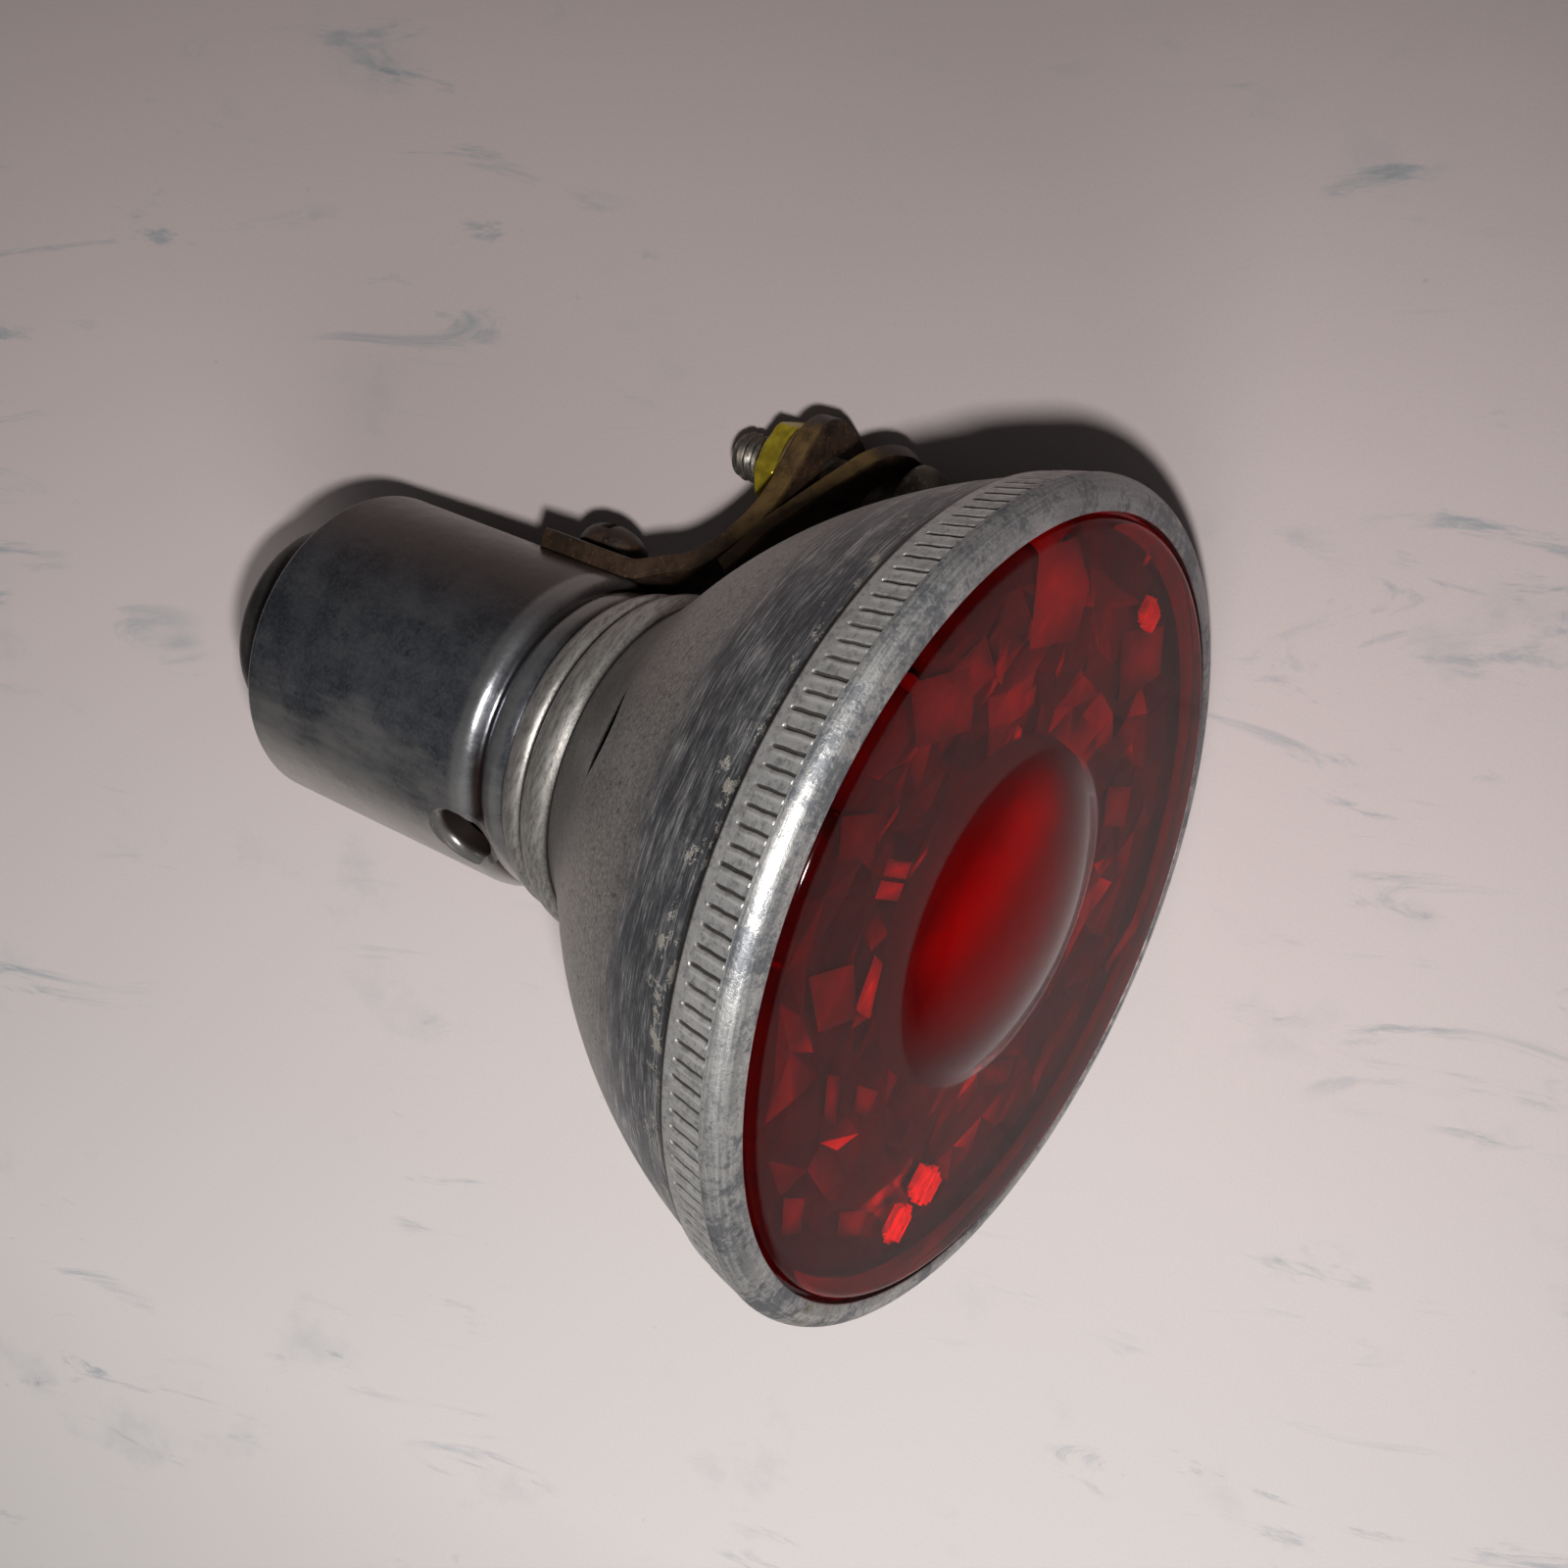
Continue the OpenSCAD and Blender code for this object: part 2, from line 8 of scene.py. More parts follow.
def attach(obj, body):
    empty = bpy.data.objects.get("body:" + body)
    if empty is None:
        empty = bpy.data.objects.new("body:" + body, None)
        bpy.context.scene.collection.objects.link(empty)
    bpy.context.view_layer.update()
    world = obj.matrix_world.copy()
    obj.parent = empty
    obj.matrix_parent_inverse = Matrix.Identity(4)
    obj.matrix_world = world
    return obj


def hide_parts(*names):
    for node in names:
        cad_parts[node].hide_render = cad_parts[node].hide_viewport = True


print("rear light: loading the packed lamp")
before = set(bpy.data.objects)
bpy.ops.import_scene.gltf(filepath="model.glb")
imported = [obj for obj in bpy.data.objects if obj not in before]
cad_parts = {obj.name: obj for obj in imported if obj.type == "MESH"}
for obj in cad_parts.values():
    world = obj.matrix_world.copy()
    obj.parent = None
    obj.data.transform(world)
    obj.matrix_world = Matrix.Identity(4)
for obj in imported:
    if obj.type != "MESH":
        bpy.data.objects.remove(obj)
bpy.context.scene.view_settings.view_transform = "Standard"
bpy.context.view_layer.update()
mm = 0.001
axisHeight = 25.5       # lamp axis above the clamp bolt
seat = 28.5             # station of the clamp bolt's seat, behind the coin edge's front
slitStation = -20.6     # middle of the vent slit
holeStation = -37.2     # middle of the cable hole
screwPlace = 13.0       # the foot screw's axis along Y


def polar(r, angle):
    # angles are in degrees from +X towards +Z; radii, heights and stations are in mm
    a = math.radians(angle)
    return r * math.cos(a), r * math.sin(a)


def axisPoint(x, s, z):
    # a point by its offsets from the lamp axis
    return Vector((x, -(s + seat), axisHeight + z)) * mm


def lampPoint(r, s, angle):
    x, z = polar(r, angle)
    return axisPoint(x, s, z)


def boltPoint(r, s, angle):
    x, z = polar(r, angle)
    return Vector((x, -(s + seat), z)) * mm


def screwPoint(r, h, angle):
    x, y = polar(r, angle)
    return Vector((x, screwPlace + y, axisHeight - h)) * mm


class Wire:
    # one socket's output, so that a mask can be written as a sum
    def __init__(self, sheet, socket):
        self.sheet, self.socket = sheet, socket

    def op(self, operation, other=None):
        return self.sheet.calc(operation, self, other)

    def __add__(self, other): return self.op("ADD", other)
    def __radd__(self, other): return self.op("ADD", other)
    def __sub__(self, other): return self.op("SUBTRACT", other)
    def __rsub__(self, other): return self.sheet.calc("SUBTRACT", other, self)
    def __mul__(self, other): return self.op("MULTIPLY", other)
    def __rmul__(self, other): return self.op("MULTIPLY", other)
    def __truediv__(self, other): return self.op("DIVIDE", other)
    def __rtruediv__(self, other): return self.sheet.calc("DIVIDE", other, self)
    def __abs__(self): return self.op("ABSOLUTE")


class Sheet:
    # a node tree that is filled by calls
    def __init__(self, tree):
        self.tree = tree

    def node(self, kind, settings=None, inputs=None, output=0):
        # settings are set first; a ramp's stops are pairs of a place and a colour
        node = self.tree.nodes.new(kind)
        for key, value in (settings or {}).items():
            if key == "stops":
                stops = node.color_ramp.elements
                while len(stops) < len(value):
                    stops.new(1.0)
                for stop, (place, colour) in zip(stops, value):
                    stop.position, stop.color = place, (*colour, 1.0)
            else:
                setattr(node, key, value)
        for key, value in (inputs or {}).items():
            if isinstance(value, Wire):
                self.tree.links.new(value.socket, node.inputs[key])
            else:
                node.inputs[key].default_value = value
        return Wire(self, node.outputs[output]) if node.outputs else None

    def calc(self, operation, a, b=None):
        return self.node("ShaderNodeMath", {"operation": operation}, {0: a} if b is None else {0: a, 1: b})

    def vector(self, operation, a, b, output=0):
        second = "Scale" if operation == "SCALE" else 1
        return self.node("ShaderNodeVectorMath", {"operation": operation}, {0: a, second: b}, output)

    def parts(self, place):
        return [self.node("ShaderNodeSeparateXYZ", {}, {0: place}, i) for i in range(3)]

    def step(self, value, low, high, bottom=0.0, top=1.0):
        return self.node("ShaderNodeMapRange", {"interpolation_type": "SMOOTHSTEP"},
                         {"Value": value, "From Min": low, "From Max": high, "To Min": bottom, "To Max": top})

    def fade(self, value, low, high, top=1.0):
        # a step that falls
        return self.step(value, low, high, top, 0.0)

    def line(self, value, middle, near, far):
        # 1 near the middle value, fading out on both sides
        return self.fade(abs(value - middle), near, far)


class Finish(Sheet):
    # one procedural material; fixed holds the shader's constants
    def __init__(self, name, **fixed):
        self.material = bpy.data.materials.new(name)
        self.material.use_nodes = True
        super().__init__(self.material.node_tree)
        self.tree.nodes.clear()
        self.fixed = fixed
        self.place = self.vector("SCALE", self.node("ShaderNodeTexCoord", output=3), 1000.0)     # mm

    def noise(self, size, detail=3.0, rough=0.55, place=None, twist=0.0):
        return self.node("ShaderNodeTexNoise", {},
                         {"Vector": place or self.place, "Scale": 1.0 / size, "Detail": detail,
                          "Roughness": rough, "Distortion": twist})

    def mapped(self, turn, scale):
        return self.node("ShaderNodeMapping", {}, {"Vector": self.place, "Rotation": turn, "Scale": scale})

    def mix(self, factor, a, b):
        a, b = [v if isinstance(v, Wire) else (*v, 1.0) for v in (a, b)]
        return self.node("ShaderNodeMix", {"data_type": "RGBA"}, {0: factor, 6: a, 7: b}, 2)

    def layered(self, base, *coats):
        # each coat is a mask and the colour that it lays over what is below
        for mask, colour in coats:
            base = self.mix(mask, base, colour)
        return base

    def ramp(self, value, *stops):
        return self.node("ShaderNodeValToRGB", {"stops": stops}, {0: value})

    def axis(self):
        # station along the lamp, radius, and the direction from the axis along X and Z
        x, y, z = self.parts(self.place)
        rise = z - axisHeight
        radius = (x * x + rise * rise).op("SQRT")
        return -seat - y, radius, x / radius, rise / radius

    def brushed(self, station, across, rise, along, around):
        # a place that runs at one rate along the lamp and at another round it
        return self.node("ShaderNodeCombineXYZ", {}, {0: across * around, 1: station * along, 2: rise * around})

    def near(self, point, size):
        # 1 at a point given in metres, fading out at size mm
        return self.fade(self.vector("DISTANCE", self.place, tuple(c * 1000 for c in point), 1), size * 0.35, size)

    def finish(self, colour, rough, bump, depth, metallic):
        # depth is the height of the bump in mm
        normal = self.node("ShaderNodeBump", {}, {"Height": bump, "Strength": 1.0, "Distance": depth * mm})
        shader = self.node("ShaderNodeBsdfPrincipled", {}, {"Base Color": colour, "Roughness": rough,
                                                            "Metallic": metallic, "Normal": normal, **self.fixed})
        self.node("ShaderNodeOutputMaterial", {}, {"Surface": shader})
        return self.material

    def seeThrough(self, factor, tint=(1.0, 1.0, 1.0)):
        # lets tinted light straight through where the factor is 1
        nodes = {n.type: n for n in self.tree.nodes}
        clear = self.node("ShaderNodeBsdfTransparent", {}, {"Color": (*tint, 1.0)})
        both = self.node("ShaderNodeMixShader", {},
                         {0: factor, 1: Wire(self, nodes["BSDF_PRINCIPLED"].outputs[0]), 2: clear})
        self.tree.links.new(both.socket, nodes["OUTPUT_MATERIAL"].inputs[0])
        return self.material


def geometryTree(name, sizes):
    # an empty Geometry Nodes tree with one named input for each size
    tree = bpy.data.node_groups.new(name, "GeometryNodeTree")
    tree.interface.new_socket("Geometry", in_out="INPUT", socket_type="NodeSocketGeometry")
    tree.interface.new_socket("Geometry", in_out="OUTPUT", socket_type="NodeSocketGeometry")
    sheet = Sheet(tree)
    for label, value in sizes.items():
        kind = "NodeSocketInt" if isinstance(value, int) else "NodeSocketFloat"
        tree.interface.new_socket(label, in_out="INPUT", socket_type=kind)
    group = tree.nodes.new("NodeGroupInput")
    return sheet, {label: Wire(sheet, group.outputs[i]) for i, label in enumerate(["Geometry", *sizes])}


def runTree(piece, sheet, sizes):
    # sets the sizes, evaluates the tree and keeps its result as a plain mesh
    change = piece.modifiers.new(sheet.tree.name, "NODES")
    change.node_group = sheet.tree
    for item in sheet.tree.interface.items_tree:
        if item.in_out == "INPUT" and item.name in sizes:
            change[item.identifier] = sizes[item.name]
    keepMesh(piece)


def keepMesh(piece):
    # replaces a piece's mesh by what its modifiers make of it
    view = bpy.context.evaluated_depsgraph_get()
    mesh = bpy.data.meshes.new_from_object(piece.evaluated_get(view), depsgraph=view)
    piece.modifiers.clear()
    old, piece.data = piece.data, mesh
    mesh.name = piece.name
    bpy.data.meshes.remove(old)


def looseObject(name, mesh):
    piece = bpy.data.objects.new(name, mesh)
    bpy.context.scene.collection.objects.link(piece)
    return piece


def dressPiece(piece, finishes, body, stands, sharp):
    # edges steeper than sharp degrees stay hard
    mesh = piece.data
    for finish in finishes:
        if finish.name not in [m.name for m in mesh.materials if m]:
            mesh.materials.append(finish)
    mesh.polygons.foreach_set("use_smooth", [True] * len(mesh.polygons))
    mesh.set_sharp_from_angle(angle=math.radians(sharp))
    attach(piece, body)
    if stands:
        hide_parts(*stands)


def openObject(name, work):
    mesh = bpy.data.meshes.new(name)
    work.to_mesh(mesh)
    work.free()
    return looseObject(name, mesh)


def closedObject(name, work):
    bmesh.ops.remove_doubles(work, verts=work.verts, dist=1e-7)
    bmesh.ops.recalc_face_normals(work, faces=work.faces)
    return openObject(name, work)


def smoothLine(points, parts=4):
    # a curve through the points that keeps its two ends
    line = []
    for i in range(len(points) - 1):
        p = [Vector(points[max(0, min(len(points) - 1, i + k))]) for k in (-1, 0, 1, 2)]
        for j in range(parts):
            t = j / parts
            line.append(0.5 * ((2 * p[1]) + (p[2] - p[0]) * t + (2 * p[0] - 5 * p[1] + 4 * p[2] - p[3]) * t * t
                               + (3 * p[1] - 3 * p[2] + p[3] - p[0]) * t ** 3))
    return [tuple(q) for q in line] + [tuple(points[-1])]


def arc(centre, radius, start, end, parts):
    turns = [polar(radius, start + (end - start) * i / parts) for i in range(parts + 1)]
    return [(centre[0] + x, centre[1] + y) for x, y in turns]


def dense(path, gap):
    # the same path with a point at least every gap mm
    out = [path[0]]
    for a, b in zip(path, path[1:]):
        n = max(1, int(math.dist(a, b) / gap + 0.999))
        out += [(a[0] + (b[0] - a[0]) * i / n, a[1] + (b[1] - a[1]) * i / n) for i in range(1, n + 1)]
    return out


def joinRings(a, b, add):
    # adds the faces between two closed rings of points; a ring of one point is a pole
    steps = max(len(a), len(b))
    for k in range(steps):
        j = (k + 1) % steps
        if len(a) > 1 and len(b) > 1:
            add((a[k], a[j], b[j], b[k]))
        elif len(a) > 1:
            add((a[k], a[j], b[0]))
        elif len(b) > 1:
            add((a[0], b[j], b[k]))


def turned(name, profile, steps, place=lampPoint, change=None):
    # a closed turned object; profile runs round the section, and points at radius 0 become poles
    profile = [p for i, p in enumerate(profile) if math.dist(p, profile[i - 1]) > 1e-5]
    work = bmesh.new()
    rings = []
    for r, s in profile:
        if r < 1e-6:
            rings.append([work.verts.new(place(0, s, 0))])
            continue
        ring = []
        for k in range(steps):
            angle = 360 * k / steps
            ring.append(work.verts.new(place(*(change(r, s, angle) if change else (r, s)), angle)))
        rings.append(ring)
    for a, b in zip(rings, rings[1:] + rings[:1]):
        joinRings(a, b, work.faces.new)
    return closedObject(name, work)


def cutAway(piece, cutter, operation="DIFFERENCE"):
    change = piece.modifiers.new("cut", "BOOLEAN")
    change.object, change.operation, change.solver = cutter, operation, "EXACT"
    keepMesh(piece)
    bpy.data.objects.remove(cutter)


def lump(x, y, z):
    # slow unevenness of a hand-finished surface, -1 to 1
    return (math.sin(x * 1.7 + 1.3 * math.sin(y * 0.9)) + math.sin(y * 2.3 + 1.1 * math.sin(z * 1.4))
            + math.sin(z * 1.9 + 0.7 * math.sin(x * 1.1))) / 3


def hashed(i, j, k=0):
    # a fixed value from 0 to 1 for a facet's number
    v = math.sin(i * 127.1 + j * 311.7 + k * 74.7) * 43758.5453
    return v - math.floor(v)


print("rear light: camera, floor and light")
cameraRow = {"right": (-0.37585, -0.79963, -0.468326), "up": (0.367011, 0.335609, -0.867565),
             "back": (0.850905, -0.497955, 0.167335), "place": (0.134443, -0.089096, 0.049206),
             "lens": 50.604, "sensor": 36.0}
# the table's tone and the two rates after it set the floor's painted light falloff
tableRow = {"normal": (0.739, -0.291, 0.609), "depth": 5.25, "size": 0.5, "tone": 0.42, "paintedFalloff": 0.46, "side": 0.115}
lightRow = {"key": {"right": 1.4, "down": 21.0, "ahead": 9.5, "size": 0.011, "power": 0.26},
            "fill": {"right": -30.0, "down": 330.0, "ahead": 40.0, "size": 0.30, "power": 0.41},
            "aim": (0.0, -0.012, 0.022), "colour": (1.0, 0.985, 0.97), "worldLow": 0.03, "worldHigh": 0.14}


def makeCamera(row):
    camera = bpy.data.cameras.new("camera")
    camera.lens, camera.sensor_width, camera.sensor_fit = row["lens"], row["sensor"], "HORIZONTAL"
    camera.clip_start, camera.clip_end = 0.01, 10
    eye = looseObject("camera", camera)
    turn = Matrix([row["right"], row["up"], row["back"]]).transposed().to_4x4()
    eye.matrix_world = Matrix.Translation(row["place"]) @ turn
    bpy.context.scene.camera = eye


def tableFinish(row):
    # pale enamel with a painted light falloff: paler and warmer towards the picture's bottom, darker towards its top
    # and right; fine speckle, faint blue-grey scuffs and stains
    f = Finish("table enamel", **{"Specular IOR Level": 0.12})
    x, y = [part * 0.01 for part in f.parts(f.place)[:2]]       # in units of 10 cm
    # painted light falloff: the level falls towards the picture's top and right
    level = (row["tone"] - y * row["paintedFalloff"] - x * row["side"]).op("MINIMUM", 0.95).op("MAXIMUM", 0.16)
    streak = f.mapped((0, 0, 0.12), (0.34, 1.25, 1.0))
    scuff = f.step(f.noise(9, 6, 0.68, streak, 1.6), 0.56, 0.70) * f.step(f.noise(34, 3), 0.47, 0.62)
    stain = f.step(f.noise(17, 6, 0.6), 0.58, 0.74)
    spot = f.step(f.noise(2.6, 3, 0.5), 0.73, 0.80)
    grain = f.noise(0.22, 2)
    level = level * (1.0 - stain * 0.10 - scuff * 0.32 - spot * 0.16) * (0.94 + grain * 0.12)
    # painted light falloff tint: warmer towards the picture's bottom, pinker towards its top
    paintedFalloffTint = f.mix(f.step(y, -1.3, 0.4), (1.0, 0.945, 0.930), (1.0, 0.850, 0.838))
    tint = f.mix((scuff + stain * 0.3).op("MINIMUM", 1.0), paintedFalloffTint, (0.92, 0.93, 0.97))
    f.finish(f.vector("SCALE", tint, level), f.step(f.noise(12), 0.3, 0.7, 0.66, 0.78), grain, 0.01, 0.0)
    return f.seeThrough(f.node("ShaderNodeNewGeometry", output=6))      # from below


def makeFloor(row):
    work = bmesh.new()
    bmesh.ops.create_circle(work, cap_ends=True, segments=64, radius=row["size"])
    floor = openObject("floor", work)
    normal = Vector(row["normal"]).normalized()
    # the plate's own X runs to the picture's right and its Y to the picture's top
    right = Vector(cameraRow["right"])
    across = (right - normal * right.dot(normal)).normalized()
    turn = Matrix([across, normal.cross(across), normal]).transposed().to_4x4()
    floor.matrix_world = Matrix.Translation(-normal * row["depth"] * mm) @ turn
    floor.data.materials.append(tableFinish(row))


def makeLight(row):
    # a small soft lamp beside the camera, a wide one beyond the picture's bottom, and a dim room
    up, right, back = [Vector(cameraRow[k]) for k in ("up", "right", "back")]
    for name in ("key", "fill"):
        lamp = row[name]
        place = Vector(cameraRow["place"]) + (right * lamp["right"] - up * lamp["down"] - back * lamp["ahead"]) * mm
        light = bpy.data.lights.new(name, "AREA")
        light.shape, light.size, light.energy, light.color = "DISK", lamp["size"], lamp["power"], row["colour"]
        stand = looseObject(name, light)
        turn = (place - Vector(row["aim"])).to_track_quat("Z", "Y").to_matrix().to_4x4()
        stand.matrix_world = Matrix.Translation(place) @ turn
        stand.visible_glossy = name == "key"
    world = bpy.data.worlds.new("room")
    bpy.context.scene.world = world
    world.use_nodes = True
    world.node_tree.nodes.clear()
    sheet = Sheet(world.node_tree)
    bright = (Vector(tableRow["normal"]) * 0.35 - up * 0.9 + right * 0.25).normalized()
    side = sheet.vector("DOT_PRODUCT", sheet.node("ShaderNodeTexCoord"), tuple(bright), 1)
    level = sheet.step(side, -0.6, 0.9, row["worldLow"], row["worldHigh"])
    glow = sheet.node("ShaderNodeBackground", {}, {"Color": (1.0, 0.98, 0.97, 1.0), "Strength": level})
    sheet.node("ShaderNodeOutputWorld", {}, {"Surface": glow})


makeCamera(cameraRow)
makeFloor(tableRow)
makeLight(lightRow)


print("rear light: finishes")


def bellFinish():
    # spun sheet: warm satin, blue-grey and brushed near the seam, with pale crust against it
    f = Finish("spun aluminium")
    s, r, across, rise = f.axis()
    fine = f.noise(1.0, 4, 0.7, f.brushed(s, across, rise, 7.5, 12.0))
    broad = f.noise(1.0, 6, 0.72, f.brushed(s, across, rise, 0.8, 5.5))
    cloud, grit = f.noise(8.0, 5, 0.62), f.noise(0.26, 3, 0.7)
    neck = f.fade(s + (cloud - 0.5) * 6.0, -26.0, -19.0)
    by = f.step(s + (cloud - 0.5) * 8.0, -14.0, -9.5)       # by the seam
    brushed = f.ramp(fine * 0.80 + broad * 0.62 - 0.205, (0.0, (0.025, 0.029, 0.037)), (0.46, (0.062, 0.069, 0.083)),
                     (0.55, (0.19, 0.197, 0.212)), (0.68, (0.62, 0.62, 0.61)))
    patch = f.step(f.noise(2.6, 6, 0.7), 0.54, 0.64) * f.step(s, -10.0, -5.5)
    crust = f.step(f.noise(1.6, 6, 0.74) + f.step(s, -8.5, -4.2) * 0.10, 0.645, 0.70) * f.step(s, -8.2, -5.6)
    # dark lines in the grooves beside the beads, pale matt crests with slanting hairlines
    hair = f.noise(1.0, 3, 0.65, f.brushed(s - across * 4.0, across, rise, 3.2, 9.0))
    crest = f.line(s, -29.0, 1.0, 1.5) + f.line(s, -31.6, 0.7, 1.05)
    groove = f.line(s, -30.47, 0.05, 0.22) + f.line(s, -27.36, 0.05, 0.28)
    # the inner side of the sheet by the slit, where the radius grows 0.945 mm a mm, gets painted shade with a painted
    # red glow from the lens
    inside = f.fade(r - (s - slitStation) * 0.945, 18.28, 18.48) * f.line(s, slitStation, 2.5, 3.0)
    base = f.layered(
        f.mix(f.step(cloud, 0.3, 0.72), (0.215, 0.202, 0.190), (0.315, 0.300, 0.285)),
        (f.step(grit, 0.40, 0.64, 0.0, 0.62), (0.50, 0.48, 0.455)),
        (f.step(f.noise(0.55, 4, 0.75), 0.585, 0.64, 0.0, 0.75), (0.07, 0.06, 0.052)),
        (neck * 0.45, (0.10, 0.092, 0.085)),
        (f.step(f.noise(0.42, 3, 0.7), 0.50, 0.66, 0.0, 0.45), (0.13, 0.122, 0.115)),
        (by * 0.88, brushed),
        (patch * 0.65, (0.055, 0.058, 0.064)),
        (crust * 0.85, (0.52, 0.485, 0.42)),
        (f.step(s, -4.5, -3.85) * 0.85, (0.03, 0.026, 0.024)),      # the seam's shade
        (crest * f.step(hair, 0.32, 0.66, 0.10, 0.85), (0.46, 0.435, 0.405)),
        (groove * 0.9, (0.025, 0.022, 0.02)),
        # painted shade and red glow inside the slit
        (inside * 0.95, (0.045, 0.006, 0.008)))
    rough = f.step(cloud, 0.3, 0.7, 0.38, 0.46) + crust * 0.2 + crest * 0.07 - by * 0.04
    bump = fine * (0.3 + by * 0.8) + grit * 0.8 + crust * 1.4 + hair * crest * 0.8
    return f.finish(base, rough, bump, 0.026, 0.74)


def tailFinish():
    # drawn tube: glossy blue-grey, cloudy, with a painted reflection paler towards +Z and a painted dark brown
    # reflection towards -Z, edged by a painted pale line
    f = Finish("drawn aluminium")
    s, r, across, rise = f.axis()
    lines = f.noise(1.0, 2, 0.6, f.brushed(s, across, rise, 5.0, 2.0))
    along = f.noise(1.0, 4, 0.65, f.brushed(s, across, rise, 0.12, 9.0))
    cloud, grit = f.noise(4.2, 5, 0.6), f.noise(0.30, 3, 0.7)
    # painted reflection: paler towards +Z
    paintedLightSide = f.step(rise + (cloud - 0.5) * 0.35 + (along - 0.5) * 0.7, 0.48, 0.98, 0.0, 0.70)
    bead = f.line(s, -34.0, 0.3, 0.9) + f.line(s, -36.6, 0.3, 1.0)
    groove = f.line(s, -35.35, 0.10, 0.45) + f.line(s, -32.85, 0.05, 0.30)
    # painted shade, reddish brown, in the cable hole's mouth and wall
    hole = f.fade(r, 11.3, 12.15) * f.line(s, holeStation, 3.0, 3.4) * f.step(rise, 0.4, 0.6)
    # painted shade on the tube's inner wall, away from the hole
    inside = f.fade(r, 11.68, 11.78) * f.fade(s, -36.8, -36.6) * f.fade(rise, 0.2, 0.4)
    base = f.layered(
        f.mix(f.step(cloud, 0.34, 0.66), (0.080, 0.087, 0.107), (0.165, 0.173, 0.196)),
        (f.step(along, 0.45, 0.75, 0.0, 0.35), (0.27, 0.275, 0.29)),
        (f.step(f.noise(1.3, 5, 0.7), 0.58, 0.70, 0.0, 0.6), (0.045, 0.046, 0.055)),
        (f.step(grit, 0.42, 0.66, 0.0, 0.30), (0.30, 0.305, 0.32)),
        # painted reflection on the +Z side
        (paintedLightSide, (0.42, 0.40, 0.375)),
        # painted dark brown reflection towards -Z, then a painted pale line at the very -Z edge
        (f.fade(rise, -0.60, 0.0, 0.88), (0.052, 0.038, 0.034)),
        (f.fade(rise, -0.97, -0.90, 0.5), (0.20, 0.165, 0.15)),
        (bead * 0.35, (0.50, 0.49, 0.48)),
        (groove * 0.8, (0.04, 0.036, 0.036)),
        # painted shade in the cable hole and inside the tube
        (hole * 0.9, (0.034, 0.016, 0.013)),
        (inside * 0.93, (0.020, 0.012, 0.010)))
    rough = f.step(cloud, 0.3, 0.7, 0.23, 0.31) + grit * 0.04 - bead * 0.02
    uneven = f.noise(2.6, 2, 0.5)
    return f.finish(base, rough, lines * 0.3 + along * 0.7 + grit * 0.5 + uneven * 4.5, 0.016, 0.80)


def ringFinish():
    # turned ring: matt grey with fine brushing, dull spots on its front, dirt in the strokes
    f = Finish("turned aluminium")
    s, r, across, rise = f.axis()
    fine = f.noise(1.0, 3, 0.65, f.brushed(s, across, rise, 7.0, 5.0))
    front = f.step(s, -0.1, 0.15)
    cloud, grit = f.noise(5.0, 5, 0.62), f.noise(0.22, 3, 0.7)
    spots = f.step(f.noise(0.9, 6, 0.74) * 0.55 + f.noise(6.0, 2) * 0.45, 0.485, 0.56) * front
    # painted shade: the front darker towards -Z, broken up by the cloud
    dull = f.fade(rise, -0.95, -0.25, 0.6) * front
    # the strokes are lower than the straight line of the band, and their lips higher
    line = (s + 0.03) * 0.2274 + 30.18
    band = (1.0 - front) * f.step(s, -3.5, -3.3)
    deep = f.step(line - r, 0.03, 0.13) * band
    # the lips' mask carries a painted highlight
    lip = f.step(r - line, 0.02, 0.07) * band
    grime = f.step(f.noise(1.4, 5, 0.7), 0.50, 0.66) * (1.0 - front)
    ledge = f.line(s, -0.02, 0.02, 0.10)
    # painted shade, faintly red, on the bore, underside and rear edge
    under = f.fade(r, 28.12, 28.2) * f.fade(s, 1.5, 1.6) + f.fade(s, 0.96, 1.0) * f.fade(r, 28.9, 29.0)
    dark = (under + f.fade(s, -3.56, -3.40)).op("MINIMUM", 1.0)
    stain = f.near(lampPoint(29.6, 0.9, 95), 3.2) * f.step(f.noise(0.9, 4), 0.4, 0.62)
    base = f.layered(
        f.mix(f.step(cloud, 0.3, 0.7), (0.225, 0.226, 0.232), (0.34, 0.335, 0.325)),
        ((1.0 - front) * 0.70, (0.66, 0.645, 0.63)),
        (f.step(fine * 0.6 + grit * 0.4, 0.40, 0.62, 0.0, 0.60), (0.60, 0.592, 0.58)),
        (f.step(f.noise(0.5, 3, 0.7), 0.50, 0.66, 0.0, 0.45), (0.12, 0.122, 0.13)),
        (spots * 0.62, (0.075, 0.085, 0.105)),
        # painted shade on the front's -Z side
        (dull * f.step(cloud, 0.3, 0.6, 0.6, 1.0), (0.105, 0.11, 0.122)),
        (deep * 0.92, (0.035, 0.029, 0.025)),
        # painted highlight on the strokes' raised lips
        (lip * 0.7, (0.78, 0.765, 0.745)),
        (grime * 0.35, (0.16, 0.155, 0.145)),
        (ledge * 0.35, (0.10, 0.095, 0.09)),
        # painted shade on the bore, underside and rear edge
        (dark * 0.93, (0.020, 0.010, 0.010)),
        (stain * 0.75, (0.20, 0.17, 0.10)))
    rough = f.step(cloud, 0.3, 0.7, 0.42, 0.50) + spots * 0.10 + deep * 0.2
    return f.finish(base, rough, fine * 0.7 + grit * 0.8 - spots * 0.3, 0.032, 0.76)


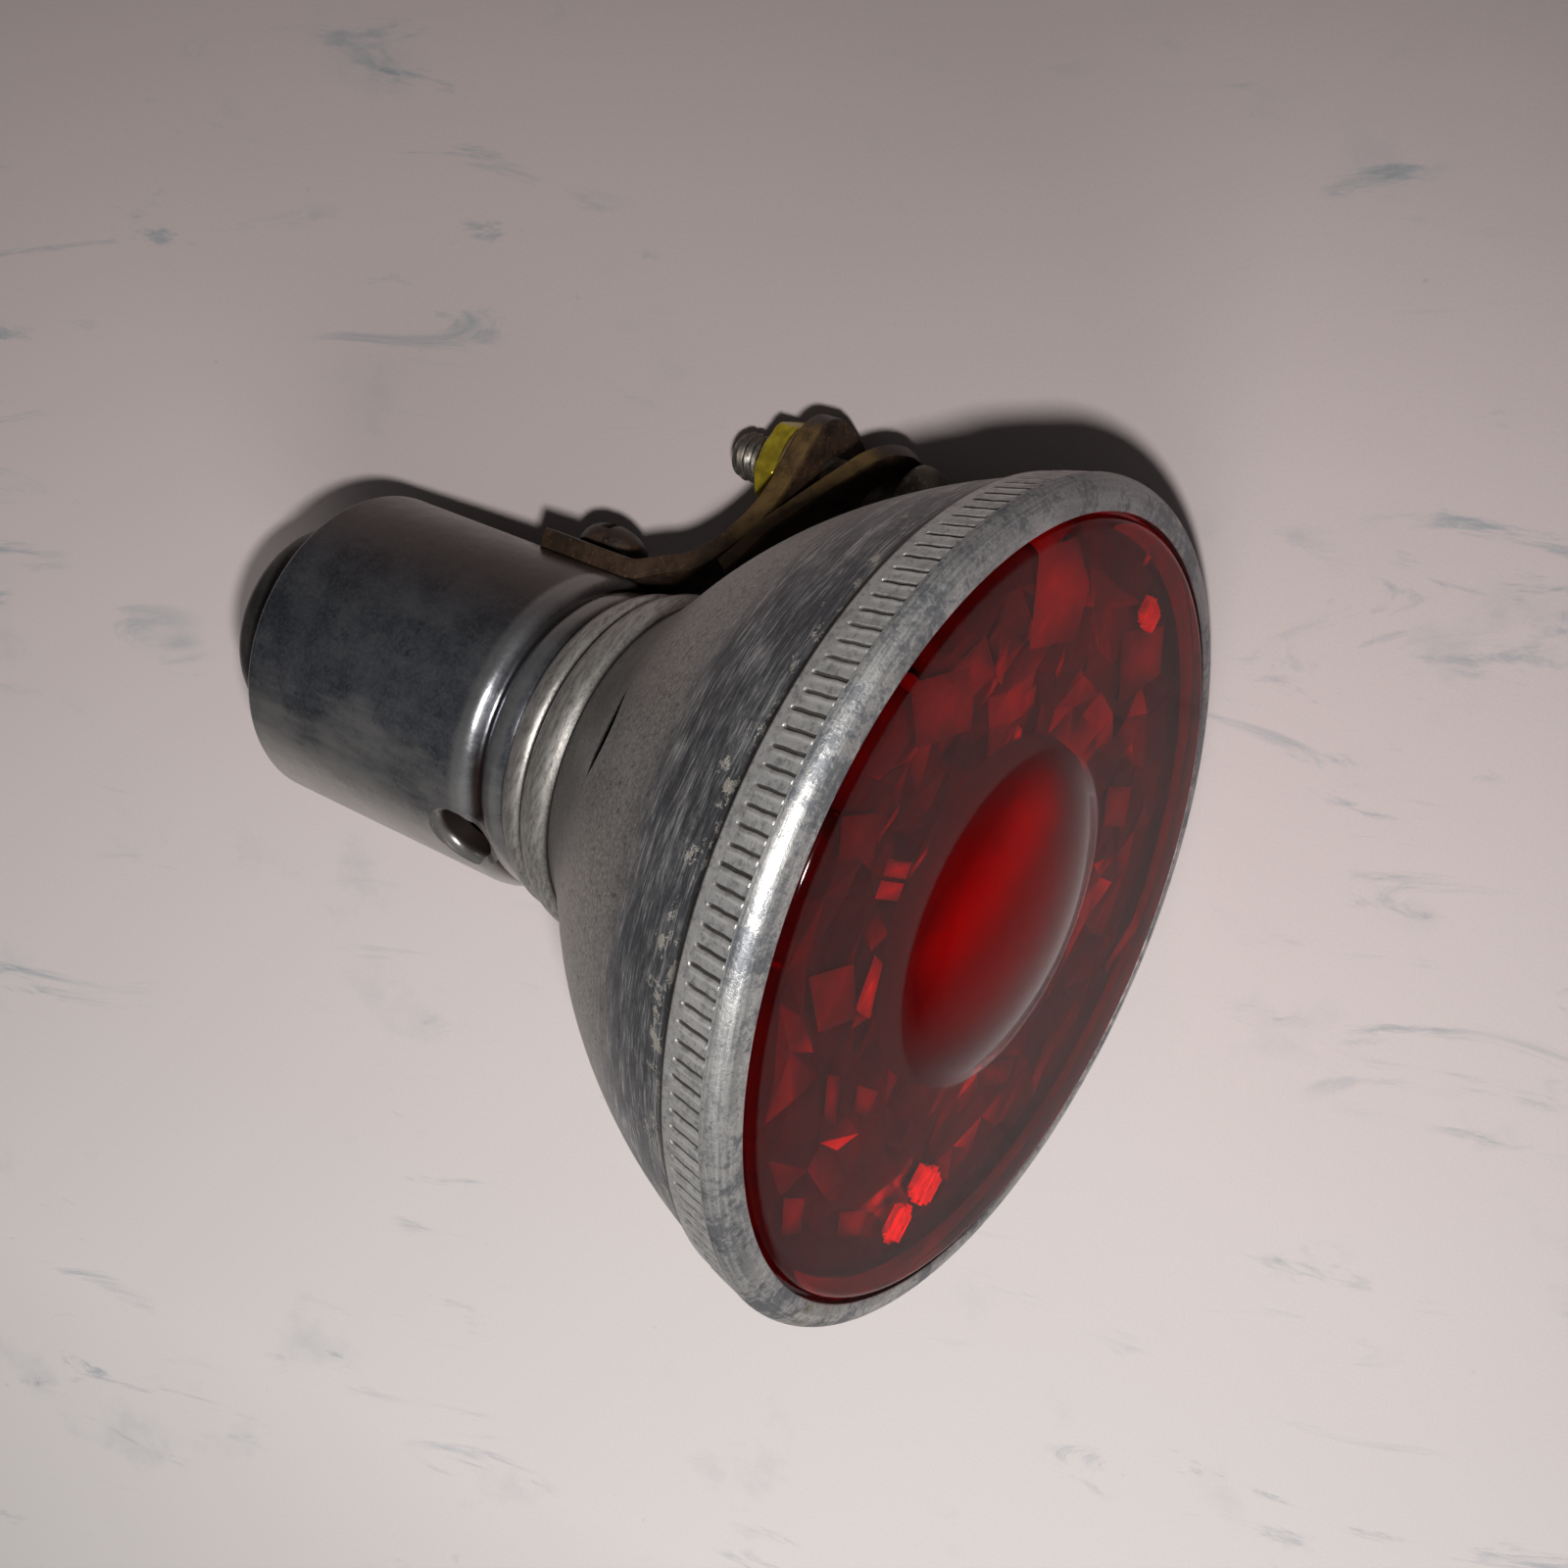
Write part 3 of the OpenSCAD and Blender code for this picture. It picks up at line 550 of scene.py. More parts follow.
def glassFinish():
    # moulded red glass; lamps shine through it as a tinted sheet
    f = Finish("red glass", **{"Transmission Weight": 1.0, "IOR": 1.17, "Specular IOR Level": 0.12})
    fine = f.step(f.noise(0.35, 4, 0.7), 0.58, 0.72)
    cloud = f.noise(6.0, 4, 0.6)
    rough = 0.05 + f.step(cloud, 0.35, 0.75, 0.0, 0.06) + fine * 0.05
    f.finish((0.93, 0.022, 0.03, 1.0), rough, cloud + fine * 0.2, 0.012, 0.0)
    return f.seeThrough(f.node("ShaderNodeLightPath", output=1), (0.95, 0.10, 0.11))


def clearFinish():
    # the bulb's glass casts no shadow
    f = Finish("bulb glass", **{"Transmission Weight": 1.0, "IOR": 1.45})
    cloud = f.noise(2.0, 3)
    f.finish((0.96, 0.98, 0.98, 1.0), f.step(cloud, 0.3, 0.7, 0.01, 0.05), cloud, 0.005, 0.0)
    return f.seeThrough(f.node("ShaderNodeLightPath", output=1))


def prismFinish():
    # the silvered-looking back of the lens: each facet keeps its own strength of painted reflection
    f = Finish("red prisms")
    shine = f.node("ShaderNodeAttribute", {"attribute_name": "shine"}, {}, 2)
    wash = f.noise(2.2, 3, 0.6)
    streak = f.step(f.noise(0.5, 3, 0.6, f.mapped((0, 0.6, 0), (3.0, 1.0, 0.35))), 0.60, 0.70)
    # painted reflection: dark red to bright red by each facet's strength, with painted streaks
    colour = f.ramp(shine + (wash - 0.5) * 0.28 + streak * shine * 0.3, (0.0, (0.014, 0.001, 0.002)),
                    (0.22, (0.050, 0.002, 0.004)), (0.5, (0.22, 0.006, 0.010)), (1.0, (0.95, 0.09, 0.05)))
    return f.finish(colour, f.step(wash, 0.3, 0.7, 0.28, 0.42), wash, 0.03, 0.45)


def domeFinish():
    # the cup behind the bull's eye: dark red, darker towards its rim, with one soft painted highlight band
    f = Finish("red cup")
    r, across, rise = f.axis()[1:]
    x, z = r * across, r * rise
    wash = f.noise(2.4, 3, 0.6)
    # painted highlight: a soft slanting band across the cup
    gap = abs(x - 2.4 - z * 0.18 + (wash - 0.5) * 3.0)
    band = f.fade(gap, 0.2, 4.2) * f.line(z, -2.0, 4.0, 9.5)
    base = f.mix(f.step(r, 4.0, 12.0), (0.085, 0.001, 0.002), (0.018, 0.001, 0.002))
    return f.finish(f.mix(band, base, (0.17, 0.001, 0.002)), 0.42, wash, 0.02, 0.2)


def glintFinish():
    f = Finish("bright prisms")
    wash = f.noise(0.8, 4, 0.6)
    colour = f.mix(f.step(wash, 0.35, 0.7), (0.80, 0.010, 0.008), (1.0, 0.08, 0.045))
    return f.finish(colour, f.step(wash, 0.3, 0.7, 0.28, 0.46), wash, 0.04, 0.9)


def rustFinish(name, shift, bare, edge):
    # rusted steel: near-black, brown bloom, tan on the sheet's side edges, partly wear and partly a painted lit edge
    f = Finish(name)
    shifted = f.vector("ADD", f.place, shift)
    cloud, grit = f.noise(1.9, 6, 0.66, shifted), f.noise(0.28, 4, 0.7, shifted)
    worn = f.step(f.noise(1.3, 4, 0.6, shifted), 0.62, 0.74) * bare
    x, y, z = f.parts(f.place)
    tail = f.step(y, -0.5, 2.0, 1.0, 0.12)
    # tan on the side edges, strongest on the tab and leaf: partly wear, partly a painted lit edge
    wearAndPaintedLitEdge = f.step(abs(x), 4.35, 4.85) * tail * f.step(f.noise(0.9, 4, 0.6, shifted), 0.30, 0.62, 0.35, 1.0) * edge
    base = f.layered(
        f.mix(f.step(cloud, 0.36, 0.66), (0.012, 0.007, 0.005), (0.040, 0.019, 0.010)),
        (f.step(grit, 0.56, 0.70) * 0.5, (0.17, 0.085, 0.035)),
        (worn, (0.075, 0.055, 0.038)),
        (wearAndPaintedLitEdge * 0.85, (0.115, 0.066, 0.018)))
    rough = f.step(cloud, 0.3, 0.7, 0.42, 0.62) - worn * 0.12
    return f.finish(base, rough, cloud * 0.6 + grit * 0.7, 0.05, worn * 0.7 + 0.1)


def steelFinish(name, light, dark, rough, metal=1.0):
    f = Finish(name)
    cloud, fine = f.noise(1.2, 5, 0.65), f.noise(0.25, 3, 0.6)
    base = f.mix(f.step(cloud, 0.35, 0.65), dark, light)
    return f.finish(base, f.step(cloud, 0.3, 0.7, rough - 0.07, rough + 0.08), cloud * 0.5 + fine * 0.5, 0.012, metal)


def boltFinish():
    # bright rounded end, dirty threads
    f = Finish("worn bolt")
    x, y, z = f.parts(f.place)
    cloud = f.noise(0.9, 5, 0.65)
    dirt = f.step((x * x + z * z).op("SQRT"), 1.15, 1.75) * f.step(cloud, 0.25, 0.5, 0.6, 1.0)
    metal = f.mix(f.step(cloud, 0.35, 0.65), (0.62, 0.60, 0.55), (0.86, 0.84, 0.78))
    return f.finish(f.mix(dirt, metal, (0.085, 0.072, 0.058)), 0.30 + dirt * 0.22, cloud, 0.02, 0.8)


def plasticFinish(name, light, dark, rough):
    f = Finish(name)
    cloud, fine = f.noise(3.0, 4, 0.6), f.noise(0.3, 3, 0.65)
    base = f.layered(f.mix(f.step(cloud, 0.35, 0.68), dark, light),
                     (f.step(fine, 0.62, 0.72) * 0.35, tuple(min(1, c * 2.2 + 0.02) for c in light)))
    return f.finish(base, f.step(cloud, 0.3, 0.7, rough - 0.06, rough + 0.08), cloud + fine * 0.4, 0.02, 0.0)


bellMetal, tailMetal, ringMetal, boltMetal = bellFinish(), tailFinish(), ringFinish(), boltFinish()
redGlass, redPrisms, domeRed, glintMetal = glassFinish(), prismFinish(), domeFinish(), glintFinish()
bulbClear = clearFinish()
rustStrip = rustFinish("rusted strip", (0.0, 0.0, 0.0), 0.45, 0.9)
rustFixing = rustFinish("rusted fixing", (31.0, 7.0, 0.0), 0.5, 0.0)
plainNut = steelFinish("dull steel", (0.42, 0.40, 0.37), (0.20, 0.18, 0.16), 0.42)
wireSteel = steelFinish("wire", (0.60, 0.60, 0.60), (0.40, 0.40, 0.41), 0.30)
solder = steelFinish("solder", (0.66, 0.66, 0.65), (0.46, 0.46, 0.47), 0.36)
zincYellow = steelFinish("yellow zinc", (0.47, 0.36, 0.028), (0.30, 0.22, 0.018), 0.38, 0.55)
zincDull = steelFinish("stained zinc", (0.26, 0.17, 0.08), (0.11, 0.07, 0.04), 0.42, 0.6)
brass = steelFinish("tarnished brass", (0.62, 0.47, 0.20), (0.32, 0.22, 0.09), 0.32)
plugBlack = plasticFinish("moulded black", (0.035, 0.030, 0.030), (0.016, 0.014, 0.014), 0.32)
rubber = plasticFinish("old rubber", (0.06, 0.05, 0.045), (0.03, 0.026, 0.024), 0.62)
board = plasticFinish("pressed board", (0.16, 0.08, 0.045), (0.08, 0.04, 0.025), 0.52)
blackGlass = plasticFinish("black glass", (0.03, 0.03, 0.034), (0.015, 0.015, 0.018), 0.14)


print("rear light: bell, tail and plug")
# each dent is its station, angle, size and depth
bellRow = {"steps": 256, "centre": (-11.68, 8.64), "radius": 42.51, "wall": 0.8, "loose": 0.02,
           "slitAngle": 7.3, "slitLength": 6.4, "slitWidth": 1.9, "slitPress": 0.6,
           "dents": [(-24.6, 18.0, 1.5, 0.22), (-13.0, 41.0, 3.5, 0.10), (-9.5, 8.0, 3.0, 0.09),
                     (-16.0, 88.0, 4.0, 0.12)]}
tailRow = {"steps": 192, "holeAngle": 67.0, "holeRadius": 2.3, "lip": 0.62, "lipTop": 12.02, "loose": 0.015,
           "dents": [(-50.0, 40.0, 4.0, 0.06), (-44.0, 80.0, 3.5, 0.07), (-55.0, 10.0, 3.0, 0.05)]}


def roundGap(angle, middle, r):
    # mm round the lamp from one angle to another
    return math.radians((angle - middle + 180) % 360 - 180) * r


def dented(dents, loose):
    # a change for turned(): shallow dents and slow unevenness
    def change(r, s, angle):
        x, z = polar(r, angle)
        low = loose * lump(s * 0.25, x * 0.25, z * 0.25)
        for at, turn, size, depth in dents:
            low += depth * math.exp(-(math.hypot(s - at, roundGap(angle, turn, r)) / size) ** 2)
        return r - low, s
    return change


def sidePlace(station, angle):
    # gives points by their mm out of the lamp axis, along the lamp and round it, from one spot on the axis
    x, z = polar(1, angle)
    centre, out, around = Vector((0, -(station + seat), axisHeight)), Vector((x, 0, z)), Vector((-z, 0, x))
    return lambda h, u, v: (centre + out * h + Vector((0, -1, 0)) * u + around * v) * mm


def radialCutter(station, angle, outline, low, high):
    # a prism that stands straight out of the lamp; outline is in mm along the lamp and round it
    place = sidePlace(station, angle)
    work = bmesh.new()
    rows = [[work.verts.new(place(h, u, v)) for u, v in outline] for h in (low, high)]
    work.faces.new(rows[0])
    work.faces.new(rows[1])
    joinRings(*rows, work.faces.new)
    return closedObject("cutter", work)


def makeBell(row):
    outer = [(11.35, -32.7), (11.72, -32.7)]
    outer += smoothLine([(11.85, -32.66), (12.1, -32.4), (12.4, -31.9), (12.55, -31.3), (12.5, -30.9), (12.32, -30.62),
                         (12.1, -30.5)])
    outer += smoothLine([(12.1, -30.5), (12.3, -30.35), (12.7, -30.1), (13.02, -29.7), (13.25, -29.1), (13.32, -28.5),
                         (13.22, -28), (13.04, -27.6), (12.92, -27.4)])
    outer += smoothLine([(12.92, -27.4), (13.2, -26.9), (13.72, -26.2), (14.34, -25.5), (15.1, -24.7), (15.9, -23.9),
                         (16.71, -23.0)])
    outer += arc(row["centre"], row["radius"], -48.1, -17.02, 56)[1:]
    rim = [(28.3, -3.8), (28.3, -3.4), (28.8, -3.2), (28.8, -2.95), (28.3, -2.75), (28.3, -2.4), (28.8, -2.2),
           (28.8, -1.95), (28.3, -1.75), (28.3, -1.65), (27.5, -1.65)]
    inner = arc(row["centre"], row["radius"] - row["wall"], -20.06, -48.1, 24)
    inner += [(15.35, -23.3), (14.55, -24.1), (13.8, -24.9), (13.1, -25.7), (12.2, -26.5), (11.35, -27.05)]
    hand = dented(row["dents"], row["loose"])

    def pressed(r, s, angle):
        # the lip on the tail's side of the slit is pushed in
        away, gap = roundGap(angle, row["slitAngle"], r), slitStation - s
        if 0 <= gap < 4 and abs(away) < 6:
            r -= row["slitPress"] * math.exp(-(gap / 1.5) ** 2 - (away / 2.3) ** 2)
        return hand(r, s, angle)

    piece = turned("spun_bell", outer + rim + inner, row["steps"], change=pressed)
    # the slit is bounded by two bows
    half, width = row["slitLength"] / 2, row["slitWidth"] / 2
    bow = (half ** 2 + width ** 2) / (2 * width)
    edge = [(math.sqrt(bow ** 2 - y * y) - bow + width, y) for y in [half * (i / 8 - 1) for i in range(1, 16)]]
    outline = [(0, -half)] + edge + [(0, half)] + [(-x, y) for x, y in reversed(edge)]
    cutAway(piece, radialCutter(slitStation, row["slitAngle"], outline, 15, 23))
    dressPiece(piece, [bellMetal], "housing", ["bell_shell"], 30)


def makeTail(row):
    outer = [(12.03, -58.7)] + arc((12.03, -58.3), 0.4, -80, 0, 5) + [(12.43, -37.2)]
    outer += smoothLine([(12.43, -37), (12.35, -36.5), (12.13, -36.1), (11.8, -35.8), (11.45, -35.62), (11.3, -35.45)])
    outer += smoothLine([(11.3, -35.25), (11.5, -35), (11.7, -34.6), (11.78, -34), (11.72, -33.4), (11.55, -32.95),
                         (11.35, -32.75)])
    outer += [(11.34, -32.72), (11.34, -27.4)]
    bore = [(10.2, -27.4), (10.2, -28), (10.9, -28), (10.9, -32.4), (10.55, -32.4), (10.55, -36), (10.8, -36.15),
            (11.3, -36.6), (11.63, -37.4), (11.63, -58.7)]
    piece = turned("drawn_tail", outer + bore, row["steps"], change=dented(row["dents"], row["loose"]))
    side = sidePlace(holeStation, row["holeAngle"])

    def holeShape(outline):
        return turned("cutter", outline, 48, lambda r, h, angle: side(h, *polar(r, angle)))

    # a collar round the cable hole, then the mouth with its rounded lip
    hole, lip = row["holeRadius"], row["lip"]
    collar = [(0, 9.9), (hole + 0.75, 9.9), (hole + 0.75, 11.6), (0, 11.6)]
    cutAway(piece, holeShape(collar), "UNION")
    low = row["lipTop"] - lip
    mouth = [(0, 9.0), (hole, 9.0), (hole, low)]
    for t in range(12, 85, 12):
        u, v = polar(1, t)
        mouth.append((hole + lip * (1 - u), low + lip * v))
    cutAway(piece, holeShape(mouth + [(hole + lip, 13.5), (0, 13.5)]))
    dressPiece(piece, [tailMetal], "housing", ["tail_sleeve"], 30)


plugRow = {"steps": 128, "loose": 0.03}


def makePlug(row):
    outer = smoothLine([(0.0, -65.3), (3.0, -65.28), (5.5, -65.22), (7.0, -65.02), (7.9, -64.6), (8.36, -64.0),
                        (8.5, -63.2)])
    outer += smoothLine([(8.5, -63.0), (8.5, -60.2), (8.52, -59.5)], 3)
    outer += [(8.62, -59.15), (8.85, -58.85), (9.3, -58.72), (11.55, -58.72), (11.55, -52.9), (11.25, -52.5),
              (7.0, -52.5), (7.0, -63.2), (6.4, -63.7), (0.0, -63.7)]
    piece = turned("end_plug", outer, row["steps"], change=dented([], row["loose"]))
    dressPiece(piece, [plugBlack], "plug", ["tail_plug"], 40)


makeBell(bellRow)
makeTail(tailRow)
makePlug(plugRow)


print("rear light: lens ring")
ringRow = {"Strokes": 152, "Depth": 0.30, "Half Width": 0.18, "Lip": 0.09, "Length": 2.75, "Waver": 0.022,
           "Unevenness": 0.4, "Seed": 11}
strokeColumns = 14      # columns of the ring's mesh for one stroke


def coinEdge():
    # presses one stroke into the band at each step round the ring
    sheet, given = geometryTree("coin edge", ringRow)
    x, y, z = sheet.parts(sheet.node("GeometryNodeInputPosition"))
    rise = z - axisHeight * mm
    radius = (x * x + rise * rise).op("SQRT")
    station = y * -1000.0 - seat
    count = (rise.op("ARCTAN2", x) * (0.5 / math.pi) + 1.0) * given["Strokes"]
    which = (count + 0.5).op("FLOOR")
    apart = (count - which) * (radius * 1000.0) * (2 * math.pi) / given["Strokes"]
    spread = sheet.node("FunctionNodeRandomValue", {"data_type": "FLOAT"},
                        {"ID": which.op("MODULO", given["Strokes"]), "Seed": given["Seed"]}, 1)
    apart = apart + (station * 4.2 + which * 2.4).op("SINE") * given["Waver"]
    depth = given["Depth"] * (1.0 - given["Unevenness"] * spread)
    notch = (1.0 - abs(apart) / given["Half Width"]).op("MAXIMUM", 0.0)
    beside = abs(apart - given["Half Width"] * 2.2) / (given["Half Width"] * 1.3)
    lip = (1.0 - beside).op("MAXIMUM", 0.0)
    back = given["Length"] * (1.0 - spread * 0.12)
    inside = sheet.step(station + back, -0.18, 0.05) * sheet.fade(station, -0.07, -0.02)
    outside = sheet.step(radius, 0.0291, 0.0294)
    move = (given["Lip"] * lip - depth * notch) * inside * outside * mm
    way = sheet.node("ShaderNodeCombineXYZ", {}, {0: x / radius * move, 2: rise / radius * move})
    moved = sheet.node("GeometryNodeSetPosition", {}, {"Geometry": given["Geometry"], "Offset": way})
    solid = sheet.node("GeometryNodeRealizeInstances", {}, {0: moved})
    done = sheet.node("GeometryNodeSetMaterial", {}, {"Geometry": solid, "Material": ringMetal})
    sheet.node("NodeGroupOutput", {}, {0: done})
    return sheet


def makeRing(row):
    skirt, rear, crest = 28.85, 29.35, 30.18
    outer = [(skirt, -3.68), (rear - 0.12, -3.68), (rear - 0.04, -3.64), (rear, -3.56)]
    outer += [(rear + (crest - rear) * t, -3.56 + 3.53 * t) for t in
              (0.08, 0.16, 0.2, 0.24, 0.3, 0.4, 0.5, 0.6, 0.7, 0.8, 0.9, 0.96, 0.985, 1.0)]
    outer += [(30.24, -0.015), (30.29, 0.02)] + arc((28.9, 0.15), 1.4, 0, 80, 16)
    outer += [(28.6, 1.66), (28.22, 1.67), (28.15, 1.63), (28.1, 1.55), (28.1, 0.95), (skirt, 0.95)]
    piece = turned("turned_ring", outer, row["Strokes"] * strokeColumns)
    piece.data.materials.append(ringMetal)
    runTree(piece, coinEdge(), row)
    dressPiece(piece, [ringMetal], "ring", ["lens_ring"], 24)


makeRing(ringRow)


print("rear light: lens")
lensRow = {"face": 1.94, "boss": 27.8, "edge": 0.75, "flange": 28.6, "domeRadius": 11.95, "domeHeight": 2.7,
           "rings": 6, "spokes": 40, "prismOut": 26.4, "prismIn": 12.6, "prismFloor": -0.95, "reliefDepth": 0.62,
           "dim": (0.35, 0.75, 1, 1, 1, 1)}      # the outermost prisms stay dark
glintRow = {"floor": -0.10, "rise": 0.85, "lean": 0.45, "oval": 0.6, "uneven": 0.12,
            "clusters": [(-1.9, -24.8, 1.2, -22.8, 9), (-13.0, 16.2, -8.8, 18.9, 11), (-11.2, 19.5, -8.2, 22.3, 8)]}
# corners (x, z from the lamp axis), strength of the painted reflection, and how far the plate leans along x and z
plates = [
    ([(17.8, -19.0), (14.3, -22.0), (9.8, -20.7), (8.0, -17.5), (13.0, -14.3)], 0.46, (-0.05, 0.0)),
    ([(1.5, -21.3), (-3.9, -24.6), (-6.9, -22.0), (-3.1, -17.8)], 0.38, (-0.06, 0.02)),
    ([(-8.3, -13.3), (-12.0, -14.9), (-14.1, -12.4), (-10.8, -11.1)], 0.37, (-0.08, 0.0)),
    ([(9.4, -10.4), (9.0, -9.5), (8.4, -9.9), (8.7, -10.5)], 0.67, (-0.2, 0.0)),
    ([(4.0, -26.2), (3.4, -26.4), (3.3, -25.6), (3.9, -25.5)], 0.55, (-0.2, 0.0)),
    ([(16.6, 2.3), (13.9, 1.4), (13.6, 2.5), (16.2, 3.3)], 0.55, (-0.12, 0.0)),
    ([(16.1, 3.6), (13.5, 2.8), (13.1, 3.9), (15.7, 4.7)], 0.53, (-0.12, 0.0)),
    ([(12.9, -0.4), (12.5, 0.2), (13.0, 2.2), (13.4, 1.9)], 0.52, (-0.1, 0.0)),
    ([(18.8, -0.6), (18.4, -0.2), (19.0, 2.1), (19.3, 1.8)], 0.44, (-0.1, 0.0)),
    ([(24.5, -6.3), (18.6, -10.5), (15.2, -7.5), (20.2, -3.9)], 0.34, (-0.03, 0.02)),
    ([(24.3, 2.5), (20.3, 0.5), (18.5, 3.1), (22.3, 4.6)], 0.27, (0.0, 0.02)),
    ([(12.1, 7.4), (10.8, 7.5), (9.1, 10.8), (11.2, 10.9)], 0.58, (-0.12, 0.0)),
    ([(18.6, 11.1), (14.4, 8.7), (10.8, 11.3), (14.2, 13.4)], 0.33, (-0.04, -0.02)),
    ([(10.2, 15.2), (8.7, 14.8), (6.3, 17.6), (8.2, 17.4)], 0.41, (-0.1, 0.0)),
    ([(5.7, 14.6), (2.7, 14.2), (2.3, 15.8), (4.4, 16.3)], 0.41, (-0.08, 0.02)),
    ([(7.7, 23.1), (5.1, 22.5), (3.4, 24.5), (5.6, 25.2)], 0.37, (-0.05, 0.0)),
    ([(-0.9, 22.2), (-4.3, 21.1), (-5.1, 22.8), (-2.2, 23.6)], 0.44, (-0.1, 0.0)),
    ([(-24.5, -9.2), (-23.6, -4.0), (-24.4, -3.6), (-25.9, -8.4)], 0.44, (-0.1, 0.0)),
    ([(-10.0, 8.6), (-15.7, 6.2), (-16.2, 8.1), (-12.0, 9.8)], 0.31, (-0.05, 0.0)),
    ([(20.8, -8.8), (19.2, -12.3), (15.6, -11.2), (17.2, -8.9)], 0.37, (-0.05, 0.0)),
    ([(16.2, -10.9), (16.1, -13.5), (14.4, -11.1)], 0.44, (-0.1, 0.0)),
    ([(10.7, -12.1), (9.8, -13.2), (8.9, -12.2), (9.7, -10.8)], 0.43, (-0.1, 0.0)),
    ([(8.5, -16.4), (8.0, -16.1), (7.6, -14.8), (8.1, -14.9)], 0.49, (-0.1, 0.0))]


def makeLens(row):
    radius, height, face = row["domeRadius"], row["domeHeight"], row["face"]
    ball = (radius ** 2 + height ** 2) / (2 * height)
    limit = math.degrees(math.asin(radius / ball))
    front = arc((0, face + height - ball), ball, 90, 90 - limit + 1.2, 20)
    front[0] = (0.0, front[0][1])
    front += smoothLine([(radius - 0.05, face + 0.10), (radius + 0.22, face + 0.02), (radius + 0.6, face)], 3)
    front += [(18.0, face), (24.0, face)] + arc((row["boss"] - row["edge"], face - row["edge"]), row["edge"], 90, 0, 8)
    front += [(row["boss"], 0.9), (row["flange"], 0.9), (row["flange"], -0.98), (26.75, -0.98)]
    spokes, rings = row["spokes"], row["rings"]
    fan = 4     # columns of the front for one spoke of the back
    steps = spokes * fan
    glass, prisms, cup = 0, 1, 2        # places of the three finishes
    work = bmesh.new()
    shine = work.loops.layers.float.new("shine")

    def ringOf(r, s, count):
        return [work.verts.new(lampPoint(r, s, 360 * k / count)) for k in range(count if r > 1e-6 else 1)]

    def addFace(points, finish, value, spread=0.0):
        made = work.faces.new(points)
        made.material_index = finish
        for loop in made.loops:
            x, y, z = loop.vert.co * 1000
            shade = hashed(round(x * 3 + value * 40), round(z * 3), 13)
            loop[shine] = value * (1 + spread * (2 * shade - 1))

    rows = [ringOf(r, s, steps) for r, s in front]
    # back: broken prisms out to the rim, and a smooth shallow cup behind the dome
    back = []
    for i in range(rings + 1):
        r = row["prismOut"] - (row["prismOut"] - row["prismIn"]) * i / rings
        jog = 0 if i in (0, rings) else 1
        back.append([work.verts.new(lampPoint(
            r + jog * (hashed(i, k) - 0.5) * 1.3, row["prismFloor"] + jog * row["reliefDepth"] * hashed(i, k, 7),
            360 * (k + jog * (hashed(k, i, 3) - 0.5) * 0.8) / spokes)) for k in range(spokes)])
    hollow = [ringOf(r, s, spokes) for r, s in ((12.2, -0.86), (9.5, -0.52), (6.5, -0.24), (3.2, -0.08), (0, -0.02))]

    for a, b in zip(rows, rows[1:]):
        joinRings(a, b, lambda points: addFace(points, glass, 0))
    edge = rows[-1]
    for k in range(steps):      # the flat ledge that carries the soft ring, down to the prisms
        j = (k + 1) % steps
        a, b = back[0][k // fan], back[0][(k // fan + 1) % spokes]
        if k % fan == fan - 1:
            addFace((edge[k], edge[j], b), prisms, 0.02)
            addFace((edge[k], b, a), prisms, 0.02)
        else:
            addFace((edge[k], edge[j], a), prisms, 0.02)
    for i in range(rings):
        for k in range(spokes):
            j = (k + 1) % spokes
            a, b, c, d = back[i][k], back[i][j], back[i + 1][j], back[i + 1][k]
            # each facet's painted reflection strength, weaker on the outermost rings
            level = row["dim"][i] * (0.05 + 0.26 * hashed(i // 2, k // 2, 5) ** 2)
            high = level + row["dim"][i] * 0.22 * hashed(i, k, 9) ** 3
            if hashed(i, k, 1) > 0.5:
                addFace((a, b, c), prisms, high, 0.7)
                addFace((a, c, d), prisms, level, 0.7)
            else:
                addFace((a, b, d), prisms, level, 0.7)
                addFace((b, c, d), prisms, high, 0.7)
    for a, b in zip([back[-1]] + hollow, hollow):
        joinRings(a, b, lambda points: addFace(points, cup, 0.3))
    bmesh.ops.recalc_face_normals(work, faces=work.faces)
    piece = openObject("moulded_lens", work)
    dressPiece(piece, [redGlass, redPrisms, domeRed], "front", ["lens"], 40)
    faces = piece.data.polygons
    faces.foreach_set("use_smooth", [face.material_index != prisms for face in faces])


def makePlates():
    # plates with a painted reflection just in front of the broken prisms, painted brightest at the middle, each leaning
    # its own way
    work = bmesh.new()
    shine = work.loops.layers.float.new("shine")
    height, most, thick = -0.14, 0.30, 0.04     # station, largest tilt and thickness of a plate
    for corners, paintedStrength, lean in plates:
        n = len(corners)
        cx, cz = sum(c[0] for c in corners) / n, sum(c[1] for c in corners) / n

        def put(x, z, low=0.0):
            rise = height + max(-most, min(most, lean[0] * (x - cx) + lean[1] * (z - cz))) - low
            return work.verts.new(axisPoint(x, rise, z))

        top, low = [put(x, z) for x, z in corners], [put(x, z, thick) for x, z in corners]
        middle, under = put(cx, cz), put(cx, cz, thick)
        for i in range(n):
            j = (i + 1) % n
            for points in ((middle, top[i], top[j]), (under, low[j], low[i]), (top[i], low[i], low[j], top[j])):
                for loop in work.faces.new(points).loops:
                    k = top.index(loop.vert) if loop.vert in top else -1
                    # painted reflection, strongest at the plate's middle
                    loop[shine] = paintedStrength * (1.0 if k < 0 else 0.30 + 0.55 * hashed(k, round(cx * 7), 2))
    dressPiece(closedObject("lens_plates", work), [redPrisms], "front", (), 20)


